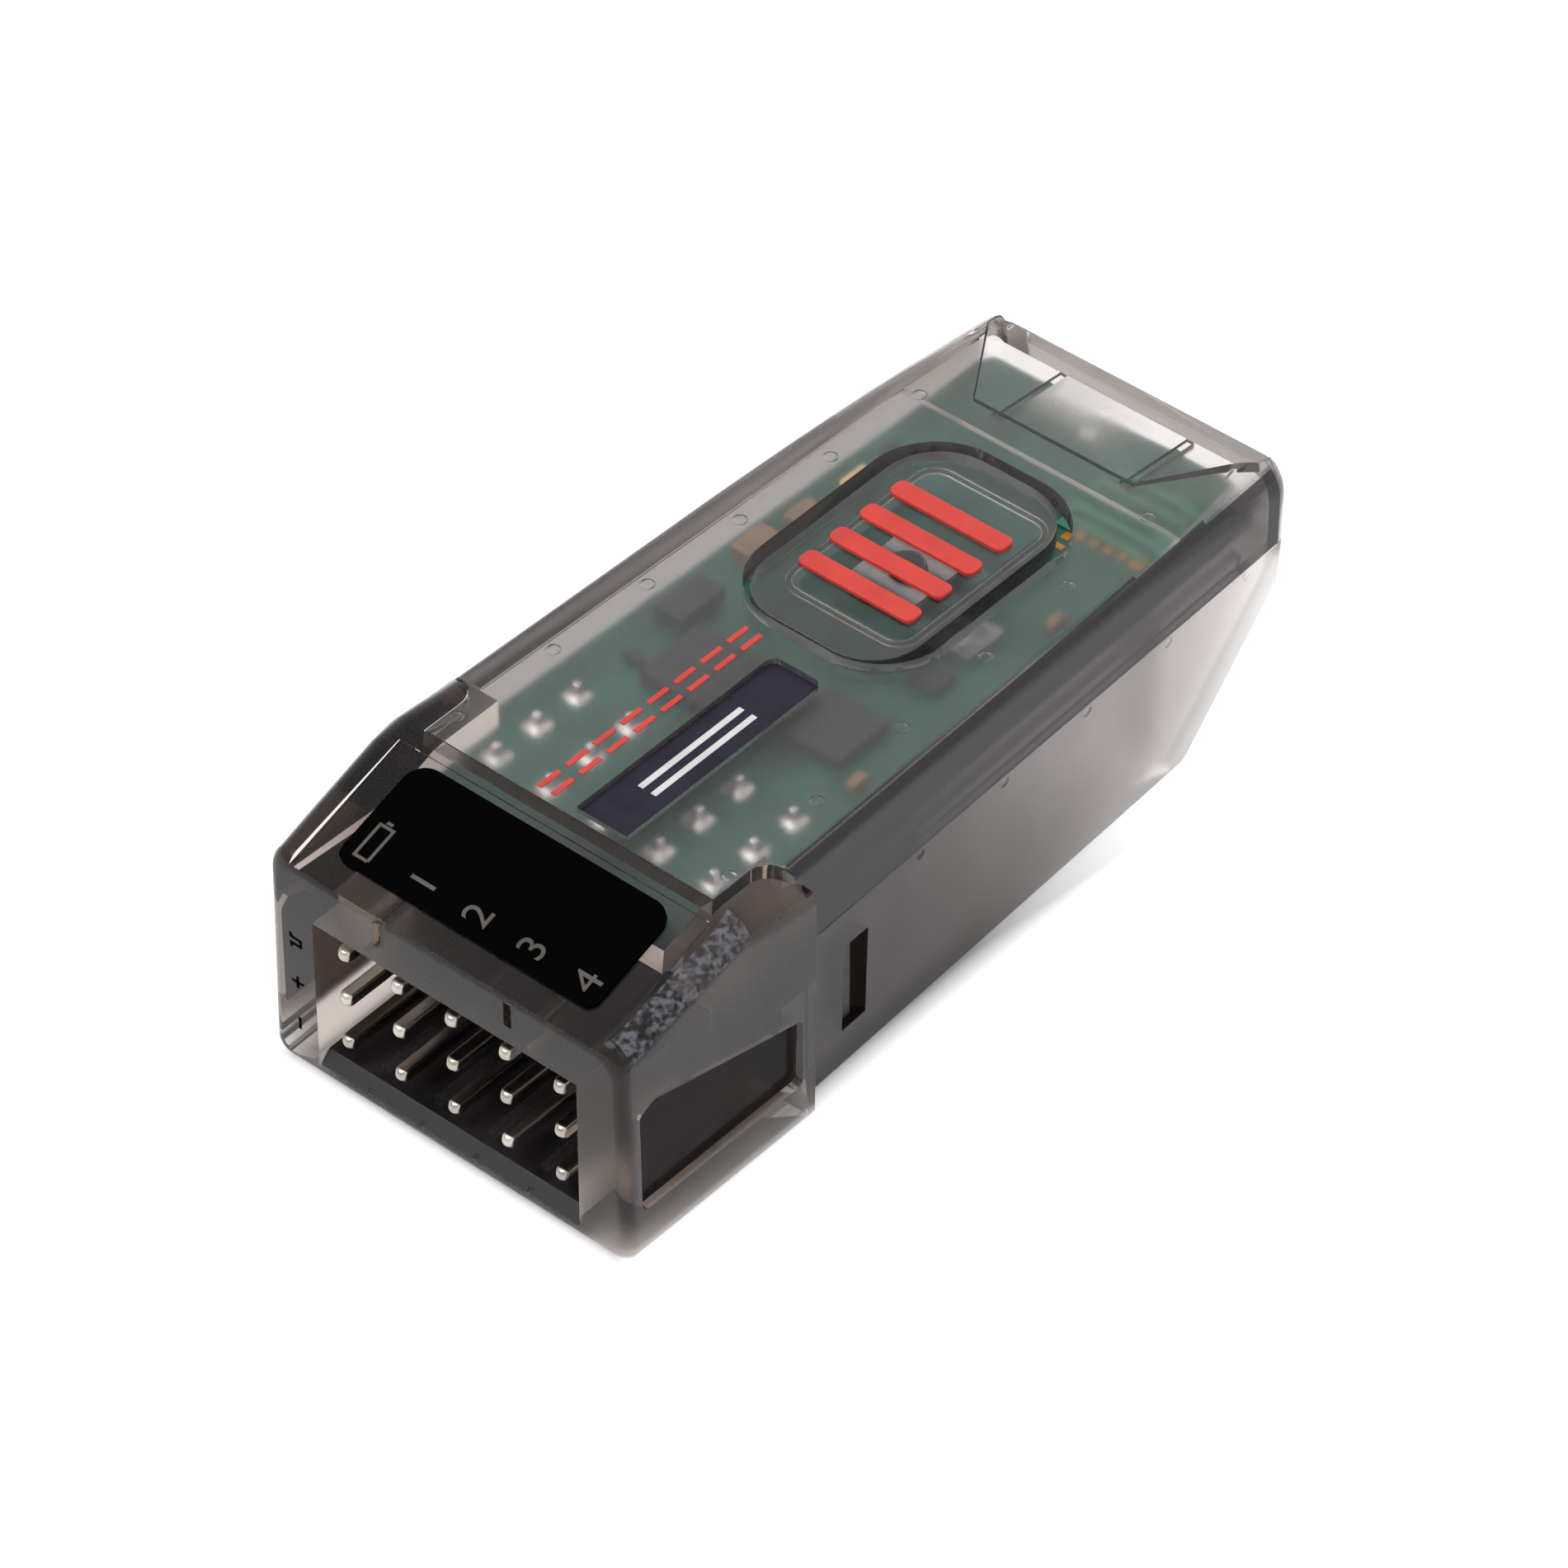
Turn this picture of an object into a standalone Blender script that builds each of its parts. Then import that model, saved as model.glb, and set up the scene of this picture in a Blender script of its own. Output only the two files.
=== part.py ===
"""Radio control receiver in a smoked clear case, with five servo ports in its nose.

Metres, +Z up. The nose with its ports looks along -Y, and the bind button is on top.
The origin lies under the middle of the case, on the plane that it rests on.
"""

import math

import bmesh
import bpy
from mathutils import Vector

MM = 0.001

# Ports: five plugs side by side, each with three contacts above each other
PORT_COUNT = 5
PORT_PITCH = 3.03 * MM
ROW_COUNT = 3
ROW_PITCH = 2.54 * MM
BOTTOM_ROW_HEIGHT = 2.6 * MM
PLUG_THICKNESS = 2.7 * MM
PLUG_MARGIN = 1.31 * MM
PORT_SPAN = PORT_PITCH * (PORT_COUNT - 1)

# Case: overall sizes and the shape of its outside
CASE_LENGTH = 46.2 * MM
CASE_HEIGHT = 14.15 * MM
COVER_DEPTH = 4.58 * MM
PARTING_HEIGHT = CASE_HEIGHT - COVER_DEPTH
WALL = 1.0 * MM
SEAM_GAP = 0.06 * MM
BODY_SIDE_MARGIN = 3.49 * MM
BODY_TAPER = 1.8 * MM
BASE_FRONT_DRAFT = 0.3 * MM
BASE_REAR_DRAFT = 1.1 * MM
BODY_FRONT_WIDTH = PORT_SPAN + 2 * BODY_SIDE_MARGIN
BODY_REAR_WIDTH = BODY_FRONT_WIDTH - BODY_TAPER
BASE_FRONT_WIDTH = BODY_FRONT_WIDTH - BASE_FRONT_DRAFT
BASE_REAR_WIDTH = BODY_REAR_WIDTH - BASE_REAR_DRAFT
TOP_EDGE_RADIUS = 0.6 * MM
REAR_TOP_EDGE_RADIUS = 2.2 * MM
EDGE_GROWTH_POWER = 3
EDGE_GROWTH_START = 20.0 * MM
EDGE_GROWTH_STOPS = (0.35, 0.55, 0.7, 0.82, 0.92)
BASE_EDGE_RADIUS = 0.7 * MM
INNER_EDGE_RADIUS = 0.2 * MM
REAR_EDGE_RADIUS = 1.0 * MM
REAR_SLOPE_DROP = 1.67 * MM
REAR_SLOPE_RISE = PARTING_HEIGHT - REAR_SLOPE_DROP
REAR_SLOPE_RUN = 7.2 * MM

# Nose: the shroud around the ports and its collar over the body
COLLAR_END = 11.8 * MM
TOP_SEAM = 7.85 * MM
SEAM_SHOULDER = 1.52 * MM
SEAM_TONGUE_WIDTH = BODY_FRONT_WIDTH - 2 * SEAM_SHOULDER
SEAM_LOBE_RADIUS = 1.2 * MM
SEAM_LOBE_END = COLLAR_END - 0.5 * MM
NOSE_STEP = 0.35 * MM
SHOULDER_STEP = 0.75 * MM
NOSE_FRONT_FLARE = 0.25 * MM
NOSE_REAR_DRAFT = 0.05 * MM
NOSE_FRONT_WIDTH = BODY_FRONT_WIDTH + 2 * NOSE_STEP
NOSE_SHOULDER_WIDTH = BODY_FRONT_WIDTH + 2 * SHOULDER_STEP
NOSE_BASE_FRONT_WIDTH = NOSE_FRONT_WIDTH + 2 * NOSE_FRONT_FLARE
NOSE_BASE_REAR_WIDTH = NOSE_SHOULDER_WIDTH - 2 * NOSE_REAR_DRAFT
NOSE_DROP = 2.6 * MM
NOSE_FRONT_HEIGHT = CASE_HEIGHT - NOSE_DROP
NOSE_TOP_RADIUS = 1.1 * MM
COLLAR_TOP_RADIUS = 1.75 * MM
COLLAR_GROWTH_START = 6.5 * MM
COLLAR_GROWTH_END = 10.3 * MM
NOSE_FRONT_RADIUS = 0.6 * MM
LABEL_PANEL_DEPTH = 0.3 * MM
LABEL_PANEL_SEAM_DROP = 0.05 * MM
LABEL_PANEL_MARGIN = 1.25 * MM
LABEL_PANEL_WIDTH = NOSE_FRONT_WIDTH - 2 * LABEL_PANEL_MARGIN
LABEL_PANEL_END = 7.0 * MM
SIDE_POCKET_DEPTH = 0.45 * MM
SIDE_POCKET_REACH = 1.1 * MM
SIDE_POCKET_START = 0.95 * MM
SIDE_POCKET_END = 11.0 * MM
SIDE_POCKET_FLOOR = 2.65 * MM
SIDE_POCKET_FRONT_DROP = 3.05 * MM
SIDE_POCKET_REAR_DROP = 5.15 * MM
BAND_NOTCH_SPACING = 7.3 * MM
BAND_NOTCH_WIDTH = 0.42 * MM
BAND_NOTCH_DEPTH = 0.35 * MM
BAND_NOTCH_DROP = 1.6 * MM
BAND_NOTCH_LENGTH = 1.3 * MM

# Inside of the nose
PIN_SIDE = 0.64 * MM
PIN_CORNER_SHARE = 0.7
PIN_TIP_SET_BACK = 0.25 * MM
PIN_TIP_TAPER = 0.25 * MM
PIN_TIP_SHARES = ((0.0, 0.45), (0.4, 0.85), (1.0, 1.0))
PIN_BEND_RADIUS = 0.6 * MM
PIN_CLEARANCE = 0.03 * MM
GUIDE_RIB_WIDTH = 0.45 * MM
GUIDE_RIB_HEIGHT = 0.35 * MM
GUIDE_RIB_ROOT = 0.1 * MM
SILL_CHAMFER = 0.55 * MM
HEADER_FRONT = 7.0 * MM
HEADER_DEPTH = 2.5 * MM
HEADER_CLEARANCE = 0.06 * MM
FIRST_SOLDER_ROW = 10.2 * MM
SOLDER_RADIUS = 0.75 * MM
SOLDER_HEIGHT = 0.75 * MM
SOLDER_PROFILE = ((1.0, 0.0), (0.55, 0.35), (0.3, 1.0))

# Latch arms of the nose and their windows in the lower case
LATCH_WINDOW_START = 14.65 * MM
LATCH_WINDOW_LENGTH = 1.6 * MM
LATCH_WINDOW_FLOOR = 2.5 * MM
LATCH_WINDOW_DROP = 2.12 * MM
LATCH_WINDOW_TOP = PARTING_HEIGHT - LATCH_WINDOW_DROP
LATCH_ARM_THICKNESS = 0.8 * MM
LATCH_FOOT_LENGTH = 1.6 * MM
LATCH_CLEARANCE = 0.08 * MM
LATCH_HOOK_REACH = 0.5 * MM

# Top face: nameplate, button slot, rear scoop and moulding dimples
TOP_LENGTH = CASE_LENGTH - TOP_SEAM
NAMEPLATE_MARGIN = 0.6 * MM
NAMEPLATE_START = TOP_SEAM + NAMEPLATE_MARGIN
NAMEPLATE_SHARE = 0.3286
NAMEPLATE_LENGTH = TOP_LENGTH * NAMEPLATE_SHARE
NAMEPLATE_LEFT = 0.0 * MM
NAMEPLATE_WIDTH = 2.8 * MM
NAMEPLATE_RECESS = 0.42 * MM
LABEL_THICKNESS = 0.12 * MM
LABEL_CLEARANCE = 0.05 * MM
PORT_LABEL_START = 1.3 * MM
PORT_LABEL_MARGIN = 1.475 * MM
PORT_LABEL_WIDTH = LABEL_PANEL_WIDTH - 2 * PORT_LABEL_MARGIN
PORT_LABEL_LENGTH = 5.62 * MM
PORT_LABEL_FRONT_CORNER = 0.6 * MM
PORT_LABEL_REAR_CORNER = 1.1 * MM
SCOOP_LENGTH = 6.25 * MM
SCOOP_START = CASE_LENGTH - SCOOP_LENGTH
SCOOP_STRAIGHT = 1.4 * MM
SCOOP_FLARE_END = CASE_LENGTH - SCOOP_STRAIGHT
SCOOP_REAR_MARGIN = 1.0 * MM
SCOOP_REAR_WIDTH = BODY_REAR_WIDTH - 2 * SCOOP_REAR_MARGIN
SCOOP_FLARE = 3.125 * MM
SCOOP_FRONT_WIDTH = SCOOP_REAR_WIDTH - 2 * SCOOP_FLARE
SCOOP_FRONT_DEPTH = 0.4 * MM
SCOOP_REAR_DEPTH = 1.0 * MM
SCOOP_RIB_SPACING = 7.2 * MM
SCOOP_RIB_WIDTH = 0.45 * MM
SCOOP_RIB_HEIGHT = 0.35 * MM
DIMPLE_RADIUS = 0.38 * MM
DIMPLE_DEPTH = 0.2 * MM
TOP_DIMPLE_COUNT = 6
TOP_DIMPLE_START = 9.42 * MM
TOP_DIMPLE_REAR_MARGIN = 7.655 * MM
TOP_DIMPLE_SPAN = CASE_LENGTH - TOP_DIMPLE_START - TOP_DIMPLE_REAR_MARGIN
DIMPLE_PITCH = TOP_DIMPLE_SPAN / (TOP_DIMPLE_COUNT - 1)
TOP_DIMPLE_MARGIN = 1.97 * MM
TOP_DIMPLE_TAPER = 0.039
SIDE_DIMPLE_COUNT = 5
SIDE_DIMPLE_START = 19.75 * MM
SIDE_DIMPLE_DROP = 0.42 * MM
SIDE_DIMPLE_RADIUS = 0.28 * MM

# Lips of the top cover that drop inside the side walls of the lower case
LIP_START = 18.5 * MM
LIP_REAR_MARGIN = 3.2 * MM
LIP_THICKNESS = 0.5 * MM
LIP_DEPTH = 0.7 * MM
LIP_ROOT_HEIGHT = 0.5 * MM
LIP_ROOT_OVERLAP = 0.25 * MM
LIP_CLEARANCE = 0.1 * MM

# Bind button: a tongue in the top cover, hinged at its front edge
BUTTON_MARGIN = 1.75 * MM
BUTTON_SLOT_START = NAMEPLATE_START + NAMEPLATE_LENGTH + BUTTON_MARGIN
BUTTON_SLOT_SHARE = 0.3807
BUTTON_SLOT_LENGTH = TOP_LENGTH * BUTTON_SLOT_SHARE
BUTTON_SLOT_WIDTH = 10.15 * MM
BUTTON_SIDE_GAP = 0.72 * MM
BUTTON_REAR_GAP = 0.55 * MM
BUTTON_HINGE_GAP = 0.12 * MM
BUTTON_FRONT_RADIUS = 3.4 * MM
BUTTON_REAR_RADIUS = 3.6 * MM
GRIP_RIB_COUNT = 4
GRIP_RIB_PITCH = 2.05 * MM
GRIP_RIB_LENGTH = 6.4 * MM
GRIP_RIB_WIDTH = 1.05 * MM
GRIP_RIB_CORNER = 0.35 * MM
GRIP_RIB_HEIGHT = 0.22 * MM
GRIP_SHARE = 0.483
GRIP_CENTRE = BUTTON_SLOT_START + BUTTON_SLOT_LENGTH * GRIP_SHARE
NUB_RADIUS = 0.75 * MM

# Circuit board, its posts and the switch under the button
BOARD_DROP = 2.35 * MM
BOARD_TOP = CASE_HEIGHT - BOARD_DROP
BOARD_THICKNESS = 1.0 * MM
BOARD_START = 5.65 * MM
BOARD_REAR_MARGIN = 1.6 * MM
BOARD_END = CASE_LENGTH - BOARD_REAR_MARGIN
BOARD_NOSE_MARGIN = 1.29 * MM
BOARD_NOSE_WIDTH = PORT_SPAN + 2 * BOARD_NOSE_MARGIN
BOARD_SIDE_GAP = 0.35 * MM
BOARD_FRONT_WIDTH = BODY_FRONT_WIDTH - 2 * (WALL + BOARD_SIDE_GAP)
BOARD_REAR_WIDTH = BODY_REAR_WIDTH - 2 * (WALL + BOARD_SIDE_GAP)
BOARD_NECK_END = 12.4 * MM
BOARD_CLEARANCE = 0.08 * MM
HOLE_CLEARANCE = 0.1 * MM
PART_CLEARANCE = 0.03 * MM
POST_SIDE = 1.3 * MM
POST_INSET = 1.1 * MM
FRONT_POST = 19.5 * MM
REAR_POST_MARGIN = 9.4 * MM
SWITCH_SHARE = 0.493
SWITCH_AT = BUTTON_SLOT_START + BUTTON_SLOT_LENGTH * SWITCH_SHARE
SWITCH_SIDE = 3.6 * MM
SWITCH_CORNER = 0.2 * MM
SWITCH_BASE_HEIGHT = 0.6 * MM
SWITCH_WELL_DEPTH = 0.45 * MM
SWITCH_COVER_HEIGHT = 0.3 * MM
PLUNGER_RADIUS = 0.85 * MM
PLUNGER_DROP = 0.15 * MM
PLUNGER_FLANGE_RADIUS = 1.2 * MM
PLUNGER_FLANGE_THICKNESS = 0.14 * MM
PLUNGER_FLANGE_GAP = 0.02 * MM
PLUNGER_GAP = 0.05 * MM

# Chips and other small parts: X and share of the way along the board behind the pins
# for the centre, length along X, width along Y, height and finish
PARTS_START = 16.5 * MM
PART_CORNER = 0.08 * MM
BOARD_PARTS = {
    "main_chip": (-2.6 * MM, 0.110, 4.0 * MM, 4.0 * MM, 0.75 * MM, "chip"),
    "radio_chip": (3.9 * MM, 0.139, 3.4 * MM, 3.4 * MM, 0.7 * MM, "chip"),
    "antenna_switch": (5.0 * MM, 0.324, 1.5 * MM, 1.5 * MM, 0.55 * MM, "chip"),
    "voltage_regulator": (-6.0 * MM, 0.214, 1.6 * MM, 2.9 * MM, 0.9 * MM, "chip"),
    "crystal": (4.6 * MM, 0.431, 2.0 * MM, 2.5 * MM, 0.6 * MM, "shield"),
    "status_led": (-5.8 * MM, 0.609, 1.0 * MM, 1.6 * MM, 0.6 * MM, "lamp"),
    "input_capacitor": (-6.2 * MM, 0.381, 1.3 * MM, 2.1 * MM, 0.9 * MM, "ceramic"),
    "output_capacitor": (-6.1 * MM, 0.488, 1.0 * MM, 1.7 * MM, 0.7 * MM, "ceramic"),
    "filter_capacitor_1": (1.2 * MM, 0.057, 0.9 * MM, 0.5 * MM, 0.45 * MM, "ceramic"),
    "filter_capacitor_2": (6.7 * MM, 0.075, 0.5 * MM, 1.0 * MM, 0.45 * MM, "ceramic"),
    "filter_capacitor_3": (6.6 * MM, 0.552, 0.5 * MM, 1.0 * MM, 0.45 * MM, "ceramic"),
    "resistor_1": (0.4 * MM, 0.174, 0.5 * MM, 1.0 * MM, 0.35 * MM, "resistor"),
    "resistor_2": (-5.7 * MM, 0.071, 1.0 * MM, 0.5 * MM, 0.35 * MM, "resistor"),
    "resistor_3": (-6.3 * MM, 0.708, 0.5 * MM, 1.0 * MM, 0.35 * MM, "resistor"),
    "resistor_4": (3.2 * MM, 0.616, 1.0 * MM, 0.5 * MM, 0.35 * MM, "resistor"),
}

# Printed antenna: a flat copper track that folds back and forth at the rear of the board
ANTENNA_LEFT = 2.2 * MM
ANTENNA_REAR_MARGIN = 2.8 * MM
ANTENNA_LEG_LENGTH = 4.4 * MM
ANTENNA_TRACK = 0.45 * MM
ANTENNA_PITCH = 0.95 * MM
ANTENNA_LEGS = 5
COPPER_THICKNESS = 0.06 * MM

# How finely round shapes are divided
ROUND_STEPS = 4
DIMPLE_SIDES = 8
NUB_SIDES = 16
SMOOTH_ANGLE = math.radians(40)
FLAT_ANGLE = math.radians(0.01)


def from_front(distance):
    """Y of a point that lies this far behind the front face of the nose."""
    return distance - CASE_LENGTH / 2


def clear_scene():
    """Remove every object of the file that the script starts in."""
    for item in list(bpy.data.objects):
        bpy.data.objects.remove(item, do_unlink=True)


def material(name, colour, roughness, metallic=0.0, alpha=1.0):
    """Plain material with one colour."""
    result = bpy.data.materials.new(name)
    result.use_nodes = True
    shader = result.node_tree.nodes["Principled BSDF"]
    shader.inputs["Base Color"].default_value = (*colour, 1.0)
    shader.inputs["Roughness"].default_value = roughness
    shader.inputs["Metallic"].default_value = metallic
    shader.inputs["Alpha"].default_value = alpha
    result.diffuse_color = (*colour, alpha)
    return result


def add_object(name, mesh_data, finish=None):
    """Link a bmesh to the scene under a name, and free it."""
    bmesh.ops.recalc_face_normals(mesh_data, faces=mesh_data.faces)
    mesh = bpy.data.meshes.new(name)
    mesh_data.to_mesh(mesh)
    mesh_data.free()
    mesh.shade_smooth()
    mesh.set_sharp_from_angle(angle=SMOOTH_ANGLE)
    result = bpy.data.objects.new(name, mesh)
    bpy.context.scene.collection.objects.link(result)
    if finish is not None:
        mesh.materials.append(finish)
    return result


def guide(result):
    """Mark an object as a cutter, which is no part of the receiver."""
    result.hide_render = True
    result.display_type = "WIRE"
    return result


def combine(target, other, operation):
    """Cut, join or intersect a solid with another one."""
    change = target.modifiers.new(operation.lower(), "BOOLEAN")
    change.operation = operation
    change.solver = "EXACT"
    change.object = guide(other)
    return target


def cut(target, cutter):
    """Take a cutter away from a solid."""
    return combine(target, cutter, "DIFFERENCE")


def join(target, other):
    """Add another solid to a solid."""
    return combine(target, other, "UNION")


def fillet(corners, steps=ROUND_STEPS):
    """Closed outline with rounded corners, from rows of (u, v, radius)."""
    points = []
    count = len(corners)
    for index, (u, v, radius) in enumerate(corners):
        here = Vector((u, v))
        if radius <= 0:
            points.append(here)
            continue
        back = (Vector(corners[index - 1][:2]) - here).normalized()
        ahead = (Vector(corners[(index + 1) % count][:2]) - here).normalized()
        half_angle = math.acos(max(-1.0, min(1.0, back.dot(ahead)))) / 2
        reach = radius / math.tan(half_angle)
        centre = here + (back + ahead).normalized() * (radius / math.sin(half_angle))
        start = here + back * reach - centre
        sweep = math.pi - 2 * half_angle
        turn = 1 if back.cross(ahead) < 0 else -1
        for step in range(steps + 1):
            angle = turn * sweep * step / steps
            points.append(centre + Vector((
                start.x * math.cos(angle) - start.y * math.sin(angle),
                start.x * math.sin(angle) + start.y * math.cos(angle))))
    return points


def loft(name, rings, finish=None):
    """Closed solid with flat faces through rings of points that all have the same count."""
    mesh_data = bmesh.new()
    rows = [[mesh_data.verts.new(point) for point in ring] for ring in rings]
    count = len(rings[0])
    for low, high in zip(rows, rows[1:]):
        for index in range(count):
            after = (index + 1) % count
            mesh_data.faces.new((low[index], low[after], high[after], high[index]))
    mesh_data.faces.new(rows[0])
    mesh_data.faces.new(rows[-1])
    bmesh.ops.connect_verts_nonplanar(mesh_data, angle_limit=FLAT_ANGLE,
                                      faces=mesh_data.faces)
    return add_object(name, mesh_data, finish)


def upright_prism(name, outline, low, high, finish=None):
    """Solid with a plan outline of (x, y), between two heights."""
    return loft(name, [[(x, y, z) for x, y in outline] for z in (low, high)], finish)


def cross_prism(name, outline, left, right, finish=None):
    """Solid with a side outline of (y, z), between two places along X."""
    return loft(name, [[(x, y, z) for y, z in outline] for x in (left, right)], finish)


def block(name, low, high, finish=None):
    """Box between two corners."""
    outline = [(low[0], low[1]), (high[0], low[1]), (high[0], high[1]), (low[0], high[1])]
    return upright_prism(name, outline, low[2], high[2], finish)


def rounded_plate(name, low, high, radius, finish=None):
    """Box with rounded upright edges."""
    corners = [(low[0], low[1], radius), (high[0], low[1], radius),
               (high[0], high[1], radius), (low[0], high[1], radius)]
    return upright_prism(name, fillet(corners), low[2], high[2], finish)


def circle(centre_u, centre_v, radius, sides):
    """Outline of a round shape."""
    return [(centre_u + radius * math.cos(math.tau * (step + 0.5) / sides),
             centre_v + radius * math.sin(math.tau * (step + 0.5) / sides))
            for step in range(sides)]


def between(start, end, share):
    """Value at a share of the way from start to end."""
    return start + (end - start) * share


def body_share(distance):
    """Share of the way from the collar to the rear end."""
    return (distance - COLLAR_END) / (CASE_LENGTH - COLLAR_END)


def half_body_width(distance):
    """Half width of the body at and above the parting line."""
    return between(BODY_FRONT_WIDTH, BODY_REAR_WIDTH, body_share(distance)) / 2


def half_base_width(distance):
    """Half width of the body at its base."""
    return between(BASE_FRONT_WIDTH, BASE_REAR_WIDTH, body_share(distance)) / 2


def top_edge_radius(distance):
    """Rounding of the long top edges, which grows towards the rear."""
    share = (distance - EDGE_GROWTH_START) / (CASE_LENGTH - EDGE_GROWTH_START)
    return between(TOP_EDGE_RADIUS, REAR_TOP_EDGE_RADIUS, max(share, 0.0) ** EDGE_GROWTH_POWER)


def body_ring(distance, inset):
    """Cross section of the body, moved inwards by inset."""
    wide = half_body_width(distance) - inset
    narrow = half_base_width(distance) - inset
    top = CASE_HEIGHT - inset
    top_radius = max(top_edge_radius(distance) - inset, INNER_EDGE_RADIUS)
    base_radius = max(BASE_EDGE_RADIUS - inset, INNER_EDGE_RADIUS)
    outline = fillet([(narrow, inset, base_radius), (wide, PARTING_HEIGHT, 0),
                      (wide, top, top_radius), (-wide, top, top_radius),
                      (-wide, PARTING_HEIGHT, 0), (-narrow, inset, base_radius)])
    return [(x, from_front(distance), z) for x, z in outline]


def body_solid(name, start, wall, end_radius):
    """Outside of the body, or its hollow when wall is more than nothing."""
    end = CASE_LENGTH - wall
    stops = [between(EDGE_GROWTH_START, CASE_LENGTH, share) for share in EDGE_GROWTH_STOPS]
    places = [start, EDGE_GROWTH_START, *stops, end - end_radius]
    rings = [body_ring(place, wall) for place in places]
    for step in range(1, ROUND_STEPS + 1):
        angle = math.pi / 2 * step / ROUND_STEPS
        distance = end - end_radius + end_radius * math.sin(angle)
        rings.append(body_ring(distance, wall + end_radius * (1 - math.cos(angle))))
    result = loft(name, rings)
    slope = Vector((REAR_SLOPE_RUN, REAR_SLOPE_RISE)).normalized()
    lift = wall / slope.x
    start_corner = (from_front(CASE_LENGTH - 2 * REAR_SLOPE_RUN), lift - REAR_SLOPE_RISE)
    end_corner = (from_front(CASE_LENGTH + REAR_SLOPE_RUN), lift + 2 * REAR_SLOPE_RISE)
    wedge = [start_corner, (end_corner[0], start_corner[1]), end_corner]
    return cut(result, cross_prism(name + "_slope", wedge, -CASE_LENGTH, CASE_LENGTH))


def band(name, start, end, low, high):
    """Region across the whole width between two distances and two heights."""
    return block(name, (-CASE_LENGTH, from_front(start), low),
                 (CASE_LENGTH, from_front(end), high))


def slot_outline(side_gap, rear_gap, front_gap):
    """Outline of the button slot, moved inwards at its sides, its rear and its hinge."""
    half = BUTTON_SLOT_WIDTH / 2 - side_gap
    front = from_front(BUTTON_SLOT_START) + front_gap
    rear = from_front(BUTTON_SLOT_START + BUTTON_SLOT_LENGTH) - rear_gap
    front_radius = BUTTON_FRONT_RADIUS - side_gap
    rear_radius = BUTTON_REAR_RADIUS - rear_gap
    return fillet([(-half, front, front_radius), (half, front, front_radius),
                   (half, rear, rear_radius), (-half, rear, rear_radius)], 2 * ROUND_STEPS)


def dimple(name, centre_x, centre_y, level):
    """Small round cutter that reaches down into a face."""
    outline = circle(centre_x, centre_y, DIMPLE_RADIUS, DIMPLE_SIDES)
    return upright_prism(name, outline, level - DIMPLE_DEPTH, level + DIMPLE_DEPTH)


def add_top_dimples(cover):
    """Two rows of moulding dimples along the top face."""
    for row in range(TOP_DIMPLE_COUNT):
        distance = TOP_DIMPLE_START + row * DIMPLE_PITCH
        margin = TOP_DIMPLE_MARGIN + TOP_DIMPLE_TAPER * (distance - TOP_DIMPLE_START)
        reach = BODY_FRONT_WIDTH / 2 - margin
        for side in (-1, 1):
            name = f"top_dimple_{row}_{side}"
            cut(cover, dimple(name, side * reach, from_front(distance), CASE_HEIGHT))


def scoop_floor(distance):
    """Height of the sloped floor of the scoop."""
    share = (distance - SCOOP_START) / (CASE_LENGTH - SCOOP_START)
    return CASE_HEIGHT - between(SCOOP_FRONT_DEPTH, SCOOP_REAR_DEPTH, share)


def scoop_backing():
    """Side outline of the wall that follows the floor of the scoop."""
    front = SCOOP_START - WALL
    return [(from_front(front), CASE_HEIGHT), (from_front(front), scoop_floor(front) - WALL),
            (from_front(CASE_LENGTH), scoop_floor(CASE_LENGTH) - WALL),
            (from_front(CASE_LENGTH), CASE_HEIGHT)]


def add_scoop(cover):
    """Trapezoid scoop at the rear of the top face, with two ribs under its floor."""
    front_half = SCOOP_FRONT_WIDTH / 2
    rear_half = SCOOP_REAR_WIDTH / 2
    beyond = CASE_LENGTH + WALL
    plan = [(-front_half, SCOOP_START), (front_half, SCOOP_START),
            (rear_half, SCOOP_FLARE_END), (rear_half, beyond),
            (-rear_half, beyond), (-rear_half, SCOOP_FLARE_END)]
    lower = [(x, from_front(distance), scoop_floor(distance)) for x, distance in plan]
    upper = [(x, from_front(distance), CASE_HEIGHT + WALL) for x, distance in plan]
    cut(cover, loft("scoop_cutter", [lower, upper]))
    rib_start = SCOOP_START + SCOOP_RIB_WIDTH
    rib_end = CASE_LENGTH - WALL / 2
    for side in (-1, 1):
        centre = side * SCOOP_RIB_SPACING / 2
        outline = [(from_front(distance), scoop_floor(distance) - drop)
                   for distance, drop in ((rib_start, WALL / 2), (rib_end, WALL / 2),
                                          (rib_end, WALL + SCOOP_RIB_HEIGHT),
                                          (rib_start, WALL + SCOOP_RIB_HEIGHT))]
        join(cover, cross_prism(f"scoop_rib_{side}", outline,
                                centre - SCOOP_RIB_WIDTH / 2, centre + SCOOP_RIB_WIDTH / 2))


def add_lips(cover):
    """Lip along each side that locates the cover inside the lower case."""
    root_floor = PARTING_HEIGHT + SEAM_GAP
    for side in (-1, 1):
        lip = []
        root = []
        for distance in (LIP_START, CASE_LENGTH - LIP_REAR_MARGIN):
            inner_wall = half_body_width(distance) - WALL
            outer = inner_wall - LIP_CLEARANCE
            lip.append((outer, outer - LIP_THICKNESS, distance))
            root.append((inner_wall + LIP_ROOT_OVERLAP, outer - LIP_THICKNESS, distance))
        for name, edges, low in (("lip", lip, PARTING_HEIGHT - LIP_DEPTH),
                                 ("lip_root", root, root_floor)):
            outline = [(side * far, from_front(d)) for far, near, d in edges]
            outline += [(side * near, from_front(d)) for far, near, d in reversed(edges)]
            join(cover, upright_prism(f"{name}_{side}", outline, low,
                                      root_floor + LIP_ROOT_HEIGHT))


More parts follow.
